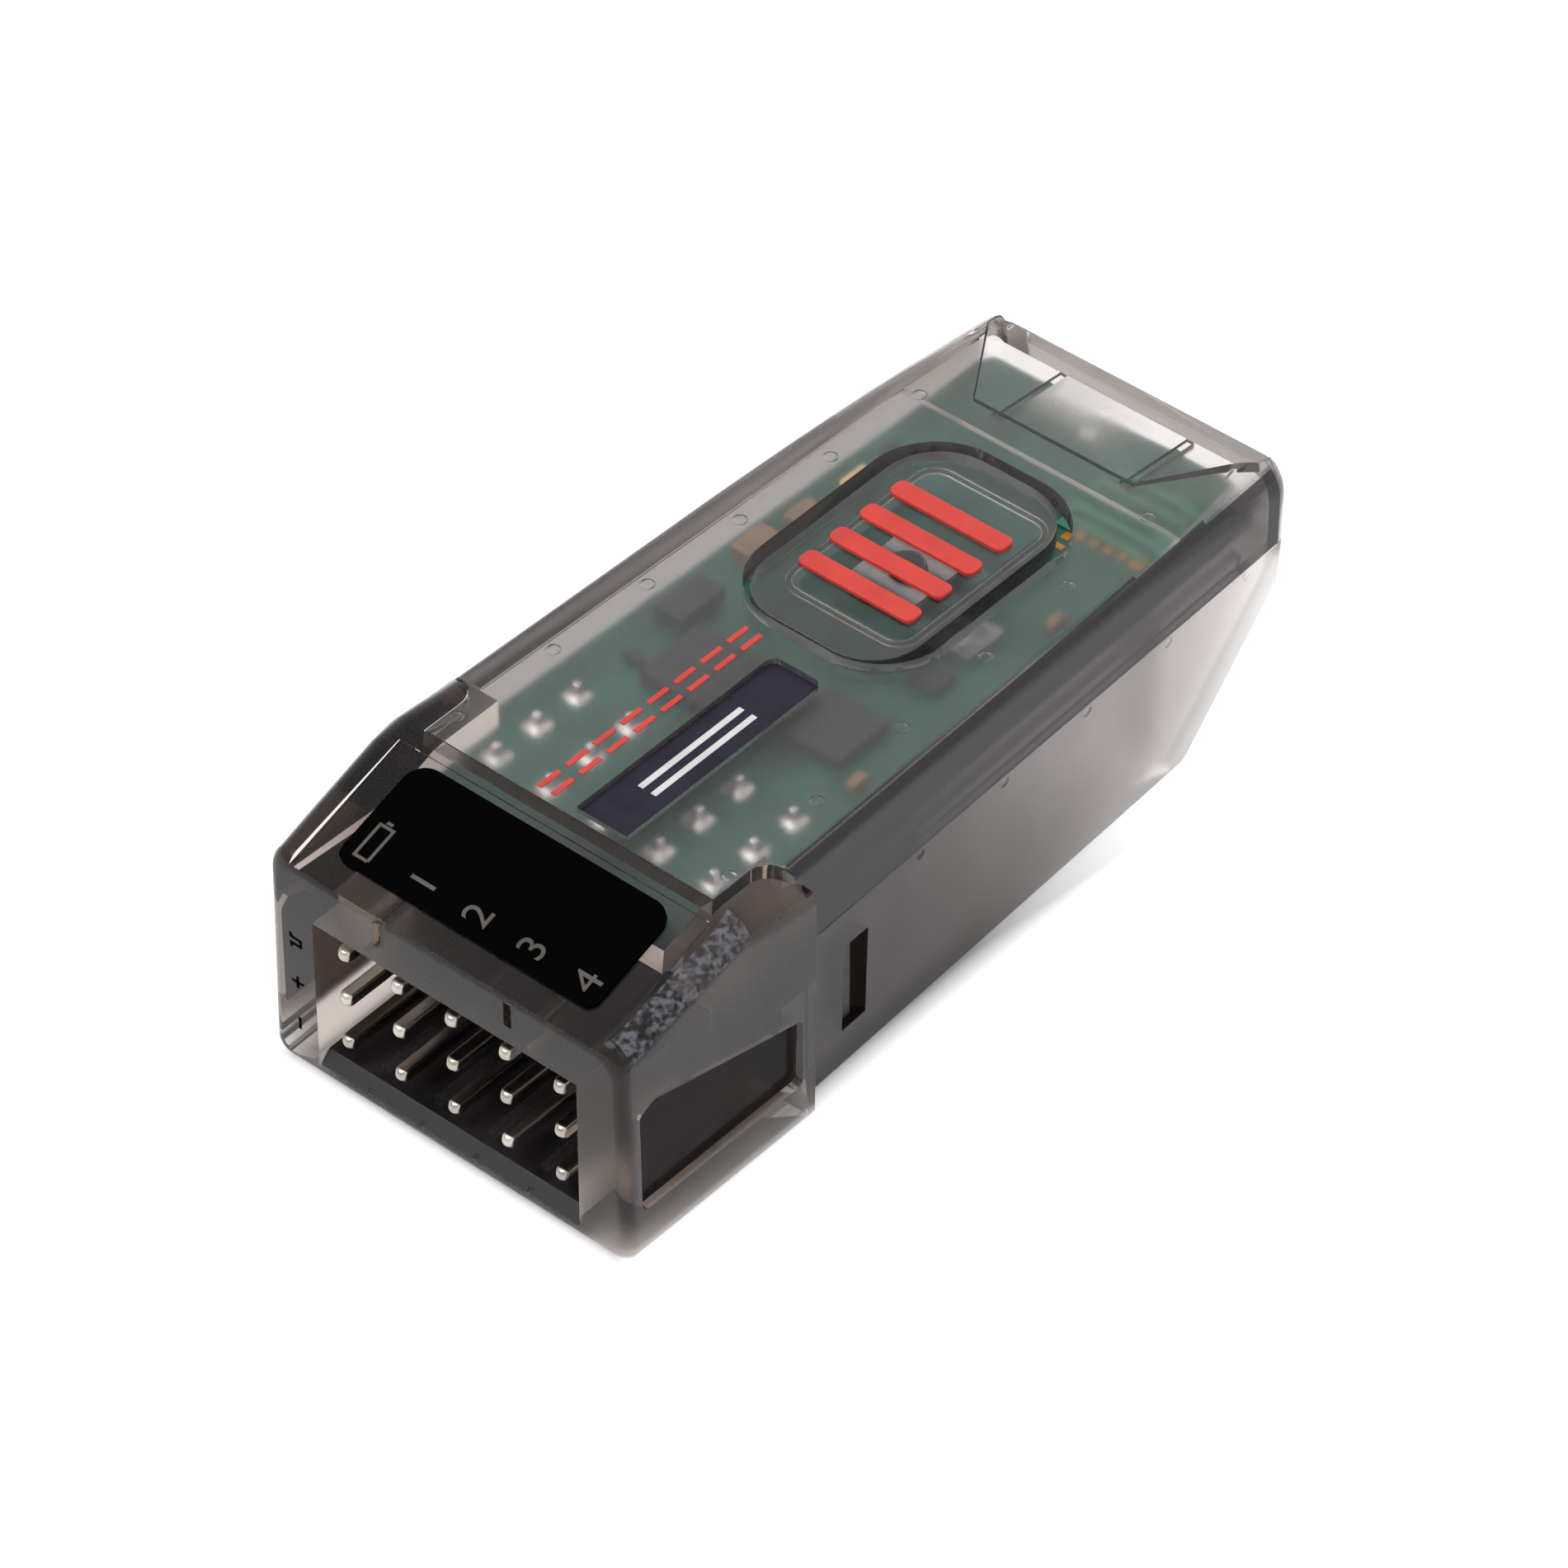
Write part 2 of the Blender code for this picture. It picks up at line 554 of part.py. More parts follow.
def tongue_edge(side, half, lobe_end):
    """Side of the tongue, from the end of the lobe forwards, with its rounding."""
    centre_x = half + SEAM_LOBE_RADIUS
    centre_y = lobe_end - SEAM_LOBE_RADIUS
    edge = []
    for step in range(ROUND_STEPS + 1):
        angle = math.pi / 2 * step / ROUND_STEPS
        edge.append((side * (centre_x - SEAM_LOBE_RADIUS * math.sin(angle)),
                     from_front(centre_y + SEAM_LOBE_RADIUS * math.cos(angle))))
    return edge


def make_top_cover(finish):
    """Upper half of the body, with a tongue that reaches into the nose."""
    front = TOP_SEAM + SEAM_GAP
    cover = body_solid("top_cover", front, 0.0, REAR_EDGE_RADIUS)
    cover.data.materials.append(finish)
    hollow = body_solid("cover_hollow", front - WALL, WALL, REAR_EDGE_RADIUS / 2)
    cut(hollow, cross_prism("scoop_backing", scoop_backing(), -CASE_LENGTH, CASE_LENGTH))
    cut(cover, hollow)
    cut(cover, band("below_parting", 0.0, CASE_LENGTH + WALL,
                    -WALL, PARTING_HEIGHT + SEAM_GAP / 2))
    cut(cover, band("under_tongue", 0.0, COLLAR_END + SEAM_GAP, -WALL, CASE_HEIGHT - WALL))
    half_tongue = SEAM_TONGUE_WIDTH / 2 - SEAM_GAP / 2
    lobe_end = SEAM_LOBE_END + SEAM_GAP
    for side in (-1, 1):
        plan = [(side * CASE_LENGTH, from_front(0.0)),
                (side * CASE_LENGTH, from_front(lobe_end))]
        plan += tongue_edge(side, half_tongue, lobe_end)
        plan.append((side * half_tongue, from_front(0.0)))
        cut(cover, upright_prism(f"beside_tongue_{side}", plan, 0.0, CASE_HEIGHT + WALL))
    cut(cover, upright_prism("button_slot", slot_outline(0.0, 0.0, 0.0),
                             CASE_HEIGHT - 2 * WALL, CASE_HEIGHT + WALL))
    cut(cover, block("nameplate_recess",
                     (NAMEPLATE_LEFT, from_front(NAMEPLATE_START),
                      CASE_HEIGHT - NAMEPLATE_RECESS),
                     (NAMEPLATE_LEFT + NAMEPLATE_WIDTH,
                      from_front(NAMEPLATE_START + NAMEPLATE_LENGTH), CASE_HEIGHT + WALL)))
    add_top_dimples(cover)
    add_scoop(cover)
    add_lips(cover)
    return cover


def side_dimple(name, side, distance):
    """Small round cutter that reaches into a side wall."""
    height = PARTING_HEIGHT - SIDE_DIMPLE_DROP
    outline = circle(from_front(distance), height, SIDE_DIMPLE_RADIUS, DIMPLE_SIDES)
    surface = half_body_width(distance)
    near, far = sorted((side * (surface - DIMPLE_DEPTH), side * (surface + DIMPLE_DEPTH)))
    return cross_prism(name, outline, near, far)


def make_lower_case(finish):
    """Floor, side walls and sloped rear end, up to the parting line."""
    start = COLLAR_END + SEAM_GAP
    case = body_solid("lower_case", start, 0.0, REAR_EDGE_RADIUS)
    case.data.materials.append(finish)
    cut(case, body_solid("case_hollow", start - WALL, WALL, REAR_EDGE_RADIUS / 2))
    cut(case, band("above_parting", 0.0, CASE_LENGTH + WALL,
                   PARTING_HEIGHT - SEAM_GAP / 2, CASE_HEIGHT + WALL))
    window = LATCH_WINDOW_START + LATCH_WINDOW_LENGTH
    cut(case, band("latch_windows", LATCH_WINDOW_START, window, LATCH_WINDOW_FLOOR,
                   LATCH_WINDOW_TOP))
    for row in range(SIDE_DIMPLE_COUNT):
        for side in (-1, 1):
            distance = SIDE_DIMPLE_START + row * DIMPLE_PITCH
            cut(case, side_dimple(f"side_dimple_{row}_{side}", side, distance))
    post_top = BOARD_TOP - BOARD_THICKNESS - BOARD_CLEARANCE
    for row, post in enumerate((FRONT_POST, CASE_LENGTH - REAR_POST_MARGIN)):
        reach = half_body_width(post) - WALL - POST_INSET
        for side in (-1, 1):
            inner, outer = sorted((side * reach, side * (reach - POST_SIDE)))
            join(case, block(f"post_{row}_{side}", (inner, from_front(post), WALL / 2),
                             (outer, from_front(post + POST_SIDE), post_top)))
    return case


def nose_top(distance):
    """Height of the top edges of the nose, which rise from the front to the seam."""
    share = min(distance / TOP_SEAM, 1.0)
    return between(NOSE_FRONT_HEIGHT + LABEL_PANEL_DEPTH, CASE_HEIGHT, share)


def panel_height(distance):
    """Height of the sunk panel that carries the port label."""
    return between(NOSE_FRONT_HEIGHT, CASE_HEIGHT - LABEL_PANEL_SEAM_DROP, distance / TOP_SEAM)


def nose_ring(distance, inset):
    """Cross section of the nose, moved inwards by inset."""
    share = distance / COLLAR_END
    base = between(NOSE_BASE_FRONT_WIDTH, NOSE_BASE_REAR_WIDTH, share) / 2 - inset
    shoulder = between(NOSE_FRONT_WIDTH, NOSE_SHOULDER_WIDTH, share) / 2 - inset
    top = nose_top(distance) - inset
    growth = (distance - COLLAR_GROWTH_START) / (COLLAR_GROWTH_END - COLLAR_GROWTH_START)
    radius = between(NOSE_TOP_RADIUS, COLLAR_TOP_RADIUS, min(max(growth, 0.0), 1.0))
    outline = fillet([(base, inset, BASE_EDGE_RADIUS), (shoulder, top, radius),
                      (-shoulder, top, radius), (-base, inset, BASE_EDGE_RADIUS)])
    return [(x, from_front(distance), z) for x, z in outline]


def tunnel_edges():
    """Half width, floor and ceiling of the opening for the plugs."""
    half = (PORT_SPAN + PLUG_THICKNESS) / 2
    floor = BOTTOM_ROW_HEIGHT - PLUG_MARGIN
    ceiling = BOTTOM_ROW_HEIGHT + ROW_PITCH * (ROW_COUNT - 1) + PLUG_MARGIN
    return half, floor, ceiling


def cut_side_pocket(shroud, side):
    """Shallow pocket in one side wall of the nose."""
    front_top = NOSE_FRONT_HEIGHT - SIDE_POCKET_FRONT_DROP
    rear_top = NOSE_FRONT_HEIGHT - SIDE_POCKET_REAR_DROP
    corners = [(SIDE_POCKET_START, SIDE_POCKET_FLOOR), (SIDE_POCKET_END, SIDE_POCKET_FLOOR),
               (SIDE_POCKET_END, rear_top),
               (SIDE_POCKET_START + 2 * SIDE_POCKET_DEPTH, front_top),
               (SIDE_POCKET_START, front_top - SIDE_POCKET_DEPTH)]

    def wall_at(distance):
        share = distance / COLLAR_END
        return between(NOSE_BASE_FRONT_WIDTH, NOSE_BASE_REAR_WIDTH, share) / 2

    inner = [(side * (wall_at(d) - SIDE_POCKET_DEPTH), from_front(d), z) for d, z in corners]
    outer = [(side * (wall_at(d) + SIDE_POCKET_REACH), from_front(d), z)
             for d, z in corners]
    cut(shroud, loft(f"side_pocket_{side}", [inner, outer]))


def add_guide_ribs(shroud):
    """Ribs on the floor and the ceiling between neighbouring ports."""
    half, floor, ceiling = tunnel_edges()
    for gap in range(PORT_COUNT - 1):
        centre = (gap - (PORT_COUNT - 2) / 2) * PORT_PITCH
        left = centre - GUIDE_RIB_WIDTH / 2
        right = centre + GUIDE_RIB_WIDTH / 2
        front = from_front(2 * SILL_CHAMFER)
        rear = from_front(HEADER_FRONT - SILL_CHAMFER)
        join(shroud, block(f"floor_rib_{gap}", (left, front, floor - GUIDE_RIB_ROOT),
                           (right, rear, floor + GUIDE_RIB_HEIGHT)))
        join(shroud, block(f"ceiling_rib_{gap}",
                           (left, from_front(SILL_CHAMFER), ceiling - GUIDE_RIB_HEIGHT),
                           (right, rear, ceiling + GUIDE_RIB_ROOT)))


def cut_band_notches(shroud):
    """Two upright notches in the front of the band above the ports."""
    low = NOSE_FRONT_HEIGHT - BAND_NOTCH_DROP
    for side in (-1, 1):
        centre = side * BAND_NOTCH_SPACING / 2
        cut(shroud, block(f"band_notch_{side}",
                          (centre - BAND_NOTCH_WIDTH / 2, from_front(-WALL), low),
                          (centre + BAND_NOTCH_WIDTH / 2, from_front(BAND_NOTCH_DEPTH),
                           low + BAND_NOTCH_LENGTH)))


def add_latch_arms(shroud):
    """Two arms behind the nose whose hooks sit in the windows of the lower case."""
    low = LATCH_WINDOW_FLOOR + LATCH_CLEARANCE
    high = LATCH_WINDOW_TOP - LATCH_CLEARANCE
    window_end = LATCH_WINDOW_START + LATCH_WINDOW_LENGTH
    root = COLLAR_END - LATCH_FOOT_LENGTH
    foot_end = COLLAR_END - LATCH_CLEARANCE
    foot_reach = NOSE_BASE_REAR_WIDTH / 2 - WALL
    arm_end = window_end + LATCH_ARM_THICKNESS
    hook_start = LATCH_WINDOW_START + LATCH_CLEARANCE
    hook_end = window_end - LATCH_CLEARANCE

    def inner_wall(distance):
        return half_base_width(distance) - WALL - LATCH_CLEARANCE

    narrow = inner_wall(arm_end) - LATCH_CLEARANCE
    for side in (-1, 1):
        plan = [(foot_reach, root), (foot_reach, foot_end), (narrow, foot_end),
                (narrow, arm_end), (narrow - LATCH_ARM_THICKNESS, arm_end),
                (narrow - LATCH_ARM_THICKNESS, root)]
        outline = [(side * x, from_front(d)) for x, d in plan]
        join(shroud, upright_prism(f"latch_arm_{side}", outline, low, high))
        tip = narrow + LATCH_HOOK_REACH
        hook = [(narrow - LATCH_ARM_THICKNESS / 2, hook_start), (tip, hook_start),
                (tip, hook_start + LATCH_HOOK_REACH), (narrow, hook_end),
                (narrow - LATCH_ARM_THICKNESS / 2, hook_end)]
        outline = [(side * x, from_front(d)) for x, d in hook]
        join(shroud, upright_prism(f"latch_hook_{side}", outline, low, high))


def make_front_shroud(finish):
    """Nose with the opening for the plugs, the label panel and the collar."""
    rings = []
    for step in range(ROUND_STEPS + 1):
        angle = math.pi / 2 * step / ROUND_STEPS
        distance = NOSE_FRONT_RADIUS * (1 - math.sin(angle))
        rings.insert(0, nose_ring(distance, NOSE_FRONT_RADIUS * (1 - math.cos(angle))))
    rings += [nose_ring(distance, 0.0) for distance in (COLLAR_GROWTH_START, TOP_SEAM,
                                                        COLLAR_GROWTH_END, COLLAR_END)]
    shroud = loft("front_shroud", rings, finish)
    half, floor, ceiling = tunnel_edges()
    cut(shroud, block("tunnel", (-half, from_front(-WALL), floor),
                      (half, from_front(HEADER_FRONT + HEADER_CLEARANCE), ceiling)))
    sill = [(from_front(-SILL_CHAMFER), floor - 2 * SILL_CHAMFER),
            (from_front(SILL_CHAMFER + HEADER_CLEARANCE), floor + HEADER_CLEARANCE),
            (from_front(-SILL_CHAMFER), floor + SILL_CHAMFER)]
    cut(shroud, cross_prism("sill_chamfer", sill, -half, half))
    inside_half = BOARD_NOSE_WIDTH / 2 + BOARD_CLEARANCE
    beyond = COLLAR_END + WALL
    ceiling_end = CASE_HEIGHT - WALL
    board_bottom = BOARD_TOP - BOARD_THICKNESS
    pocket_front = BOARD_START - BOARD_CLEARANCE
    pocket_top = panel_height(pocket_front) - WALL
    hollow = [(from_front(HEADER_FRONT - HEADER_CLEARANCE), floor),
              (from_front(beyond), floor), (from_front(beyond), ceiling_end),
              (from_front(TOP_SEAM), ceiling_end), (from_front(pocket_front), pocket_top),
              (from_front(pocket_front), board_bottom - BOARD_CLEARANCE),
              (from_front(HEADER_FRONT - HEADER_CLEARANCE), board_bottom - BOARD_CLEARANCE)]
    cut(shroud, cross_prism("header_room", hollow, -inside_half, inside_half))
    half_notch = SEAM_TONGUE_WIDTH / 2
    notch = [(-half_notch, from_front(TOP_SEAM)), (half_notch, from_front(TOP_SEAM))]
    notch += tongue_edge(1, half_notch, SEAM_LOBE_END)[::-1]
    notch += [(CASE_LENGTH, from_front(SEAM_LOBE_END)), (CASE_LENGTH, from_front(beyond)),
              (-CASE_LENGTH, from_front(beyond)), (-CASE_LENGTH, from_front(SEAM_LOBE_END))]
    notch += tongue_edge(-1, half_notch, SEAM_LOBE_END)
    cut(shroud, upright_prism("seam_notch", notch, ceiling_end - SEAM_GAP,
                              CASE_HEIGHT + 2 * WALL))
    panel_half = LABEL_PANEL_WIDTH / 2
    panel = [(from_front(-WALL), panel_height(-WALL)),
             (from_front(LABEL_PANEL_END), panel_height(LABEL_PANEL_END)),
             (from_front(LABEL_PANEL_END), CASE_HEIGHT + 2 * WALL),
             (from_front(-WALL), CASE_HEIGHT + 2 * WALL)]
    cut(shroud, cross_prism("label_panel", panel, -panel_half, panel_half))
    for side in (-1, 1):
        cut_side_pocket(shroud, side)
    cut_band_notches(shroud)
    add_guide_ribs(shroud)
    add_latch_arms(shroud)
    return shroud


def make_port_label(finish):
    """Thin label with rounded corners that lies on the sloped panel of the nose."""
    rise = panel_height(TOP_SEAM) - panel_height(0.0)
    along = Vector((TOP_SEAM, rise)).normalized()
    half = PORT_LABEL_WIDTH / 2
    front = PORT_LABEL_FRONT_CORNER
    rear = PORT_LABEL_REAR_CORNER
    outline = fillet([(-half, 0.0, front), (half, 0.0, front),
                      (half, PORT_LABEL_LENGTH, rear), (-half, PORT_LABEL_LENGTH, rear)])
    base = Vector((PORT_LABEL_START, panel_height(PORT_LABEL_START)))
    normal = Vector((-along.y, along.x))
    rings = []
    for lift in (LABEL_CLEARANCE, LABEL_CLEARANCE + LABEL_THICKNESS):
        ring = []
        for x, length in outline:
            spot = base + along * length + normal * lift
            ring.append((x, from_front(spot.x), spot.y))
        rings.append(ring)
    return loft("port_label", rings, finish)


def make_nameplate(finish):
    """Blank plate that lies in the recess beside the middle of the top face."""
    bottom = CASE_HEIGHT - NAMEPLATE_RECESS + LABEL_CLEARANCE
    start = NAMEPLATE_START + LABEL_CLEARANCE
    end = NAMEPLATE_START + NAMEPLATE_LENGTH - LABEL_CLEARANCE
    return block("nameplate",
                 (NAMEPLATE_LEFT + LABEL_CLEARANCE, from_front(start), bottom),
                 (NAMEPLATE_LEFT + NAMEPLATE_WIDTH - LABEL_CLEARANCE, from_front(end),
                  bottom + LABEL_THICKNESS), finish)


def switch_heights():
    """Tops of the switch base, of its cover and of its plunger."""
    base = BOARD_TOP + PART_CLEARANCE + SWITCH_BASE_HEIGHT
    cover = base + PART_CLEARANCE + SWITCH_COVER_HEIGHT
    plunger = CASE_HEIGHT - WALL - PLUNGER_DROP
    return base, cover, plunger


def move_origin(target, place):
    """Put the origin of an object at a place, with its shape where it was."""
    for vertex in target.data.vertices:
        vertex.co -= place
    target.location = place


def make_bind_button(finish):
    """Tongue with grip ribs on top and a nub over the switch below."""
    outline = slot_outline(BUTTON_SIDE_GAP, BUTTON_REAR_GAP, BUTTON_HINGE_GAP)
    button = upright_prism("bind_button", outline, CASE_HEIGHT - WALL, CASE_HEIGHT, finish)
    for index in range(GRIP_RIB_COUNT):
        centre = GRIP_CENTRE + (index - (GRIP_RIB_COUNT - 1) / 2) * GRIP_RIB_PITCH
        join(button, rounded_plate(
            f"grip_rib_{index}",
            (-GRIP_RIB_LENGTH / 2, from_front(centre - GRIP_RIB_WIDTH / 2),
             CASE_HEIGHT - WALL / 2),
            (GRIP_RIB_LENGTH / 2, from_front(centre + GRIP_RIB_WIDTH / 2),
             CASE_HEIGHT + GRIP_RIB_HEIGHT), GRIP_RIB_CORNER))
    plunger_top = switch_heights()[2]
    nub = circle(0.0, from_front(SWITCH_AT), NUB_RADIUS, NUB_SIDES)
    join(button, upright_prism("press_nub", nub, plunger_top + PLUNGER_GAP,
                               CASE_HEIGHT - WALL / 2))
    hinge = Vector((0.0, from_front(BUTTON_SLOT_START + BUTTON_HINGE_GAP),
                    CASE_HEIGHT - WALL / 2))
    move_origin(button, hinge)
    return button


def board_outline():
    """Plan of the circuit board, narrow in the nose and tapered in the body."""
    nose_half = BOARD_NOSE_WIDTH / 2
    front_half = BOARD_FRONT_WIDTH / 2
    rear_half = BOARD_REAR_WIDTH / 2
    start = from_front(BOARD_START)
    neck = from_front(BOARD_NECK_END)
    end = from_front(BOARD_END)
    return [(-nose_half, start), (nose_half, start), (nose_half, neck), (front_half, neck),
            (rear_half, end), (-rear_half, end), (-front_half, neck), (-nose_half, neck)]


def pin_places():
    """Name, X, height of the row and distance of the solder joint of each pin."""
    rows = (("ground_pin", 0), ("power_pin", 1), ("signal_pin", 2))
    for kind, row in rows:
        height = BOTTOM_ROW_HEIGHT + row * ROW_PITCH
        solder = FIRST_SOLDER_ROW + (ROW_COUNT - 1 - row) * ROW_PITCH
        for port in range(PORT_COUNT):
            x = port * PORT_PITCH - PORT_SPAN / 2
            yield f"{kind}_{port + 1}", x, height, solder


def make_circuit_board(finish):
    """Board with a hole for each pin."""
    bottom = BOARD_TOP - BOARD_THICKNESS
    board = upright_prism("circuit_board", board_outline(), bottom, BOARD_TOP, finish)
    radius = PIN_SIDE / math.sqrt(2) + HOLE_CLEARANCE
    for name, x, height, solder in pin_places():
        hole = circle(x, from_front(solder), radius, DIMPLE_SIDES)
        cut(board, upright_prism(name + "_hole", hole, bottom - WALL, BOARD_TOP + WALL))
    return board


def make_header_block(finish):
    """Moulded block that the pins pass through, under the front of the board."""
    half = BOARD_NOSE_WIDTH / 2
    floor = tunnel_edges()[1] + HEADER_CLEARANCE
    top = BOARD_TOP - BOARD_THICKNESS - PART_CLEARANCE
    body = block("header_block", (-half, from_front(HEADER_FRONT), floor),
                 (half, from_front(HEADER_FRONT + HEADER_DEPTH), top), finish)
    reach = PIN_SIDE / 2 + PIN_CLEARANCE
    for name, x, height, solder in pin_places():
        cut(body, block(name + "_bore",
                        (x - reach, from_front(HEADER_FRONT - WALL), height - reach),
                        (x + reach, from_front(HEADER_FRONT + HEADER_DEPTH + WALL),
                         height + reach)))
    return body


def pin_section(half):
    """Square section with small chamfers, as (across, along) pairs."""
    cut_back = half * PIN_CORNER_SHARE
    return [(half, -cut_back), (half, cut_back), (cut_back, half), (-cut_back, half),
            (-half, cut_back), (-half, -cut_back), (-cut_back, -half), (cut_back, -half)]


def make_pin(name, x, height, solder, finish):
    """Bent pin: a tip in the port, a run through the block and a soldered end."""
    half = PIN_SIDE / 2
    tip = from_front(PIN_TIP_SET_BACK)
    bend = from_front(solder) - PIN_BEND_RADIUS
    rings = []
    run = [(tip + PIN_TIP_TAPER * share, half * size) for share, size in PIN_TIP_SHARES]
    for place, size in run + [(bend, half)]:
        rings.append([(x + u, place, height + v) for u, v in pin_section(size)])
    for step in range(1, ROUND_STEPS):
        angle = math.pi / 2 * step / ROUND_STEPS
        ring = []
        for u, v in pin_section(half):
            radius = PIN_BEND_RADIUS - v
            ring.append((x + u, bend + radius * math.sin(angle),
                         height + PIN_BEND_RADIUS - radius * math.cos(angle)))
        rings.append(ring)
    board_face = BOARD_TOP + PART_CLEARANCE
    for level, size in ((height + PIN_BEND_RADIUS, half), (board_face, half)):
        rings.append([(x + u, from_front(solder) - v, level) for u, v in pin_section(size)])
    for share, level in SOLDER_PROFILE:
        ring = []
        for u, v in pin_section(1.0):
            way = Vector((u, -v)).normalized() * SOLDER_RADIUS * share
            ring.append((x + way.x, from_front(solder) + way.y,
                         board_face + level * SOLDER_HEIGHT))
        rings.append(ring)
    return loft(name, rings, finish)


def make_switch(body_finish, metal_finish, plunger_finish):
    """Tact switch: moulded base, metal cover with a hole and a round plunger."""
    base_top, cover_top, plunger_top = switch_heights()
    half = SWITCH_SIDE / 2
    centre = from_front(SWITCH_AT)
    base = rounded_plate("switch_base", (-half, centre - half, BOARD_TOP + PART_CLEARANCE),
                         (half, centre + half, base_top), SWITCH_CORNER, body_finish)
    well = circle(0.0, centre, PLUNGER_FLANGE_RADIUS + PLUNGER_GAP, NUB_SIDES)
    well_floor = base_top - SWITCH_WELL_DEPTH
    cut(base, upright_prism("switch_well", well, well_floor, base_top + WALL))
    cover = rounded_plate("switch_cover", (-half, centre - half, base_top + PART_CLEARANCE),
                          (half, centre + half, cover_top), SWITCH_CORNER, metal_finish)
    hole = circle(0.0, centre, PLUNGER_RADIUS + PLUNGER_GAP, NUB_SIDES)
    cut(cover, upright_prism("switch_hole", hole, base_top - WALL, cover_top + WALL))
    flange_top = base_top - PLUNGER_FLANGE_GAP
    profile = [(PLUNGER_FLANGE_RADIUS, flange_top - PLUNGER_FLANGE_THICKNESS),
               (PLUNGER_FLANGE_RADIUS, flange_top),
               (PLUNGER_RADIUS, flange_top), (PLUNGER_RADIUS, plunger_top)]
    rings = [[(x, y, level) for x, y in circle(0.0, centre, radius, NUB_SIDES)]
             for radius, level in profile]
    loft("switch_plunger", rings, plunger_finish)


def make_board_parts(finishes):
    """Every small part that stands on the board."""
    base = BOARD_TOP + PART_CLEARANCE
    for name, (x, share, length, width, height, finish) in BOARD_PARTS.items():
        centre = from_front(between(PARTS_START, BOARD_END, share))
        rounded_plate(name, (x - length / 2, centre - width / 2, base),
                      (x + length / 2, centre + width / 2, base + height),
                      PART_CORNER, finishes[finish])


def ribbon(route, width):
    """Outline of a flat track of constant width along a route of (x, y) corners."""
    points = [Vector(point) for point in route]
    left = []
    right = []
    for index, point in enumerate(points):
        ahead = (points[min(index + 1, len(points) - 1)] - point).normalized()
        back = (point - points[max(index - 1, 0)]).normalized()
        normals = [Vector((-way.y, way.x)) for way in (back, ahead) if way.length > 0.5]
        total = sum(normals, Vector((0.0, 0.0)))
        offset = total * (width / 2) * len(normals) / total.length_squared
        left.append(point + offset)
        right.append(point - offset)
    return left + right[::-1]


def make_antenna(finish):
    """Folded copper track at the rear of the board."""
    route = []
    for leg in range(ANTENNA_LEGS):
        ends = [ANTENNA_LEFT, ANTENNA_LEFT + ANTENNA_LEG_LENGTH]
        if leg % 2:
            ends.reverse()
        level = from_front(BOARD_END - ANTENNA_REAR_MARGIN - leg * ANTENNA_PITCH)
        route += [(x, level) for x in ends]
    bottom = BOARD_TOP + PART_CLEARANCE
    upright_prism("board_antenna", ribbon(route, ANTENNA_TRACK), bottom,
                  bottom + COPPER_THICKNESS, finish)


def build():
    """Make every piece of the receiver."""
    clear_scene()
    smoke = material("smoke_clear", (0.30, 0.27, 0.25), 0.15, alpha=0.5)
    finishes = {
        "chip": material("chip_black", (0.03, 0.03, 0.035), 0.5),
        "shield": material("shield_tin", (0.6, 0.6, 0.62), 0.3, 1.0),
        "lamp": material("lamp_amber", (0.9, 0.55, 0.2), 0.3),
        "ceramic": material("ceramic_tan", (0.55, 0.42, 0.30), 0.5),
        "resistor": material("resistor_black", (0.05, 0.05, 0.06), 0.4),
    }
    make_front_shroud(smoke)
    make_top_cover(smoke)
    make_lower_case(smoke)
    make_bind_button(smoke)
    make_port_label(material("label_black", (0.01, 0.01, 0.012), 0.35))
    make_nameplate(material("plate_slate", (0.045, 0.045, 0.07), 0.4))
    make_circuit_board(material("board_green", (0.03, 0.14, 0.09), 0.4))
    make_header_block(material("header_black", (0.02, 0.02, 0.02), 0.5))
    pin_metal = material("pin_tin", (0.72, 0.70, 0.66), 0.25, 1.0)
    for name, x, height, solder in pin_places():
        make_pin(name, x, height, solder, pin_metal)
    make_switch(finishes["chip"], finishes["shield"],
                material("plunger_black", (0.03, 0.03, 0.03), 0.5))
    make_board_parts(finishes)
    make_antenna(material("copper_gilt", (0.75, 0.5, 0.2), 0.3, 1.0))


build()
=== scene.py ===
"""Looks of a small radio control receiver in a smoked clear case.

The nose looks along -Y, the rear end along +Y and the bind button is on top. Lengths are
in metres, and distances are counted from the front face of the nose.
"""

from __future__ import annotations

import logging
import math
from dataclasses import dataclass
from enum import Enum
from typing import Callable, Iterable, Sequence

import bmesh
import bpy
from mathutils import Matrix, Vector

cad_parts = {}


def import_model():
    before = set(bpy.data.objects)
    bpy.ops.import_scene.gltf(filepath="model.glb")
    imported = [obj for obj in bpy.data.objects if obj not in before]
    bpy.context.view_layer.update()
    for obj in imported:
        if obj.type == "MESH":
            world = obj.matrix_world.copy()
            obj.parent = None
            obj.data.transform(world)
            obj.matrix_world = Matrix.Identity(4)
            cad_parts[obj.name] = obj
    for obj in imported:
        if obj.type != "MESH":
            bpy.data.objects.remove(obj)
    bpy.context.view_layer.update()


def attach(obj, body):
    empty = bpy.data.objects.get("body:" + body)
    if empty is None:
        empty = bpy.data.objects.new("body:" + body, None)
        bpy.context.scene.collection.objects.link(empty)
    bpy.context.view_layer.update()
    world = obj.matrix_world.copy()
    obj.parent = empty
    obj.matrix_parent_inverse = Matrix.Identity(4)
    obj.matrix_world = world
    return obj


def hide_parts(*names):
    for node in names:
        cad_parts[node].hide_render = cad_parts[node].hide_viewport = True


MM = 0.001
SIDES = (-1, 1)
# Print starts at this height, a little inside the surface that carries it
SINK = -0.02 * MM
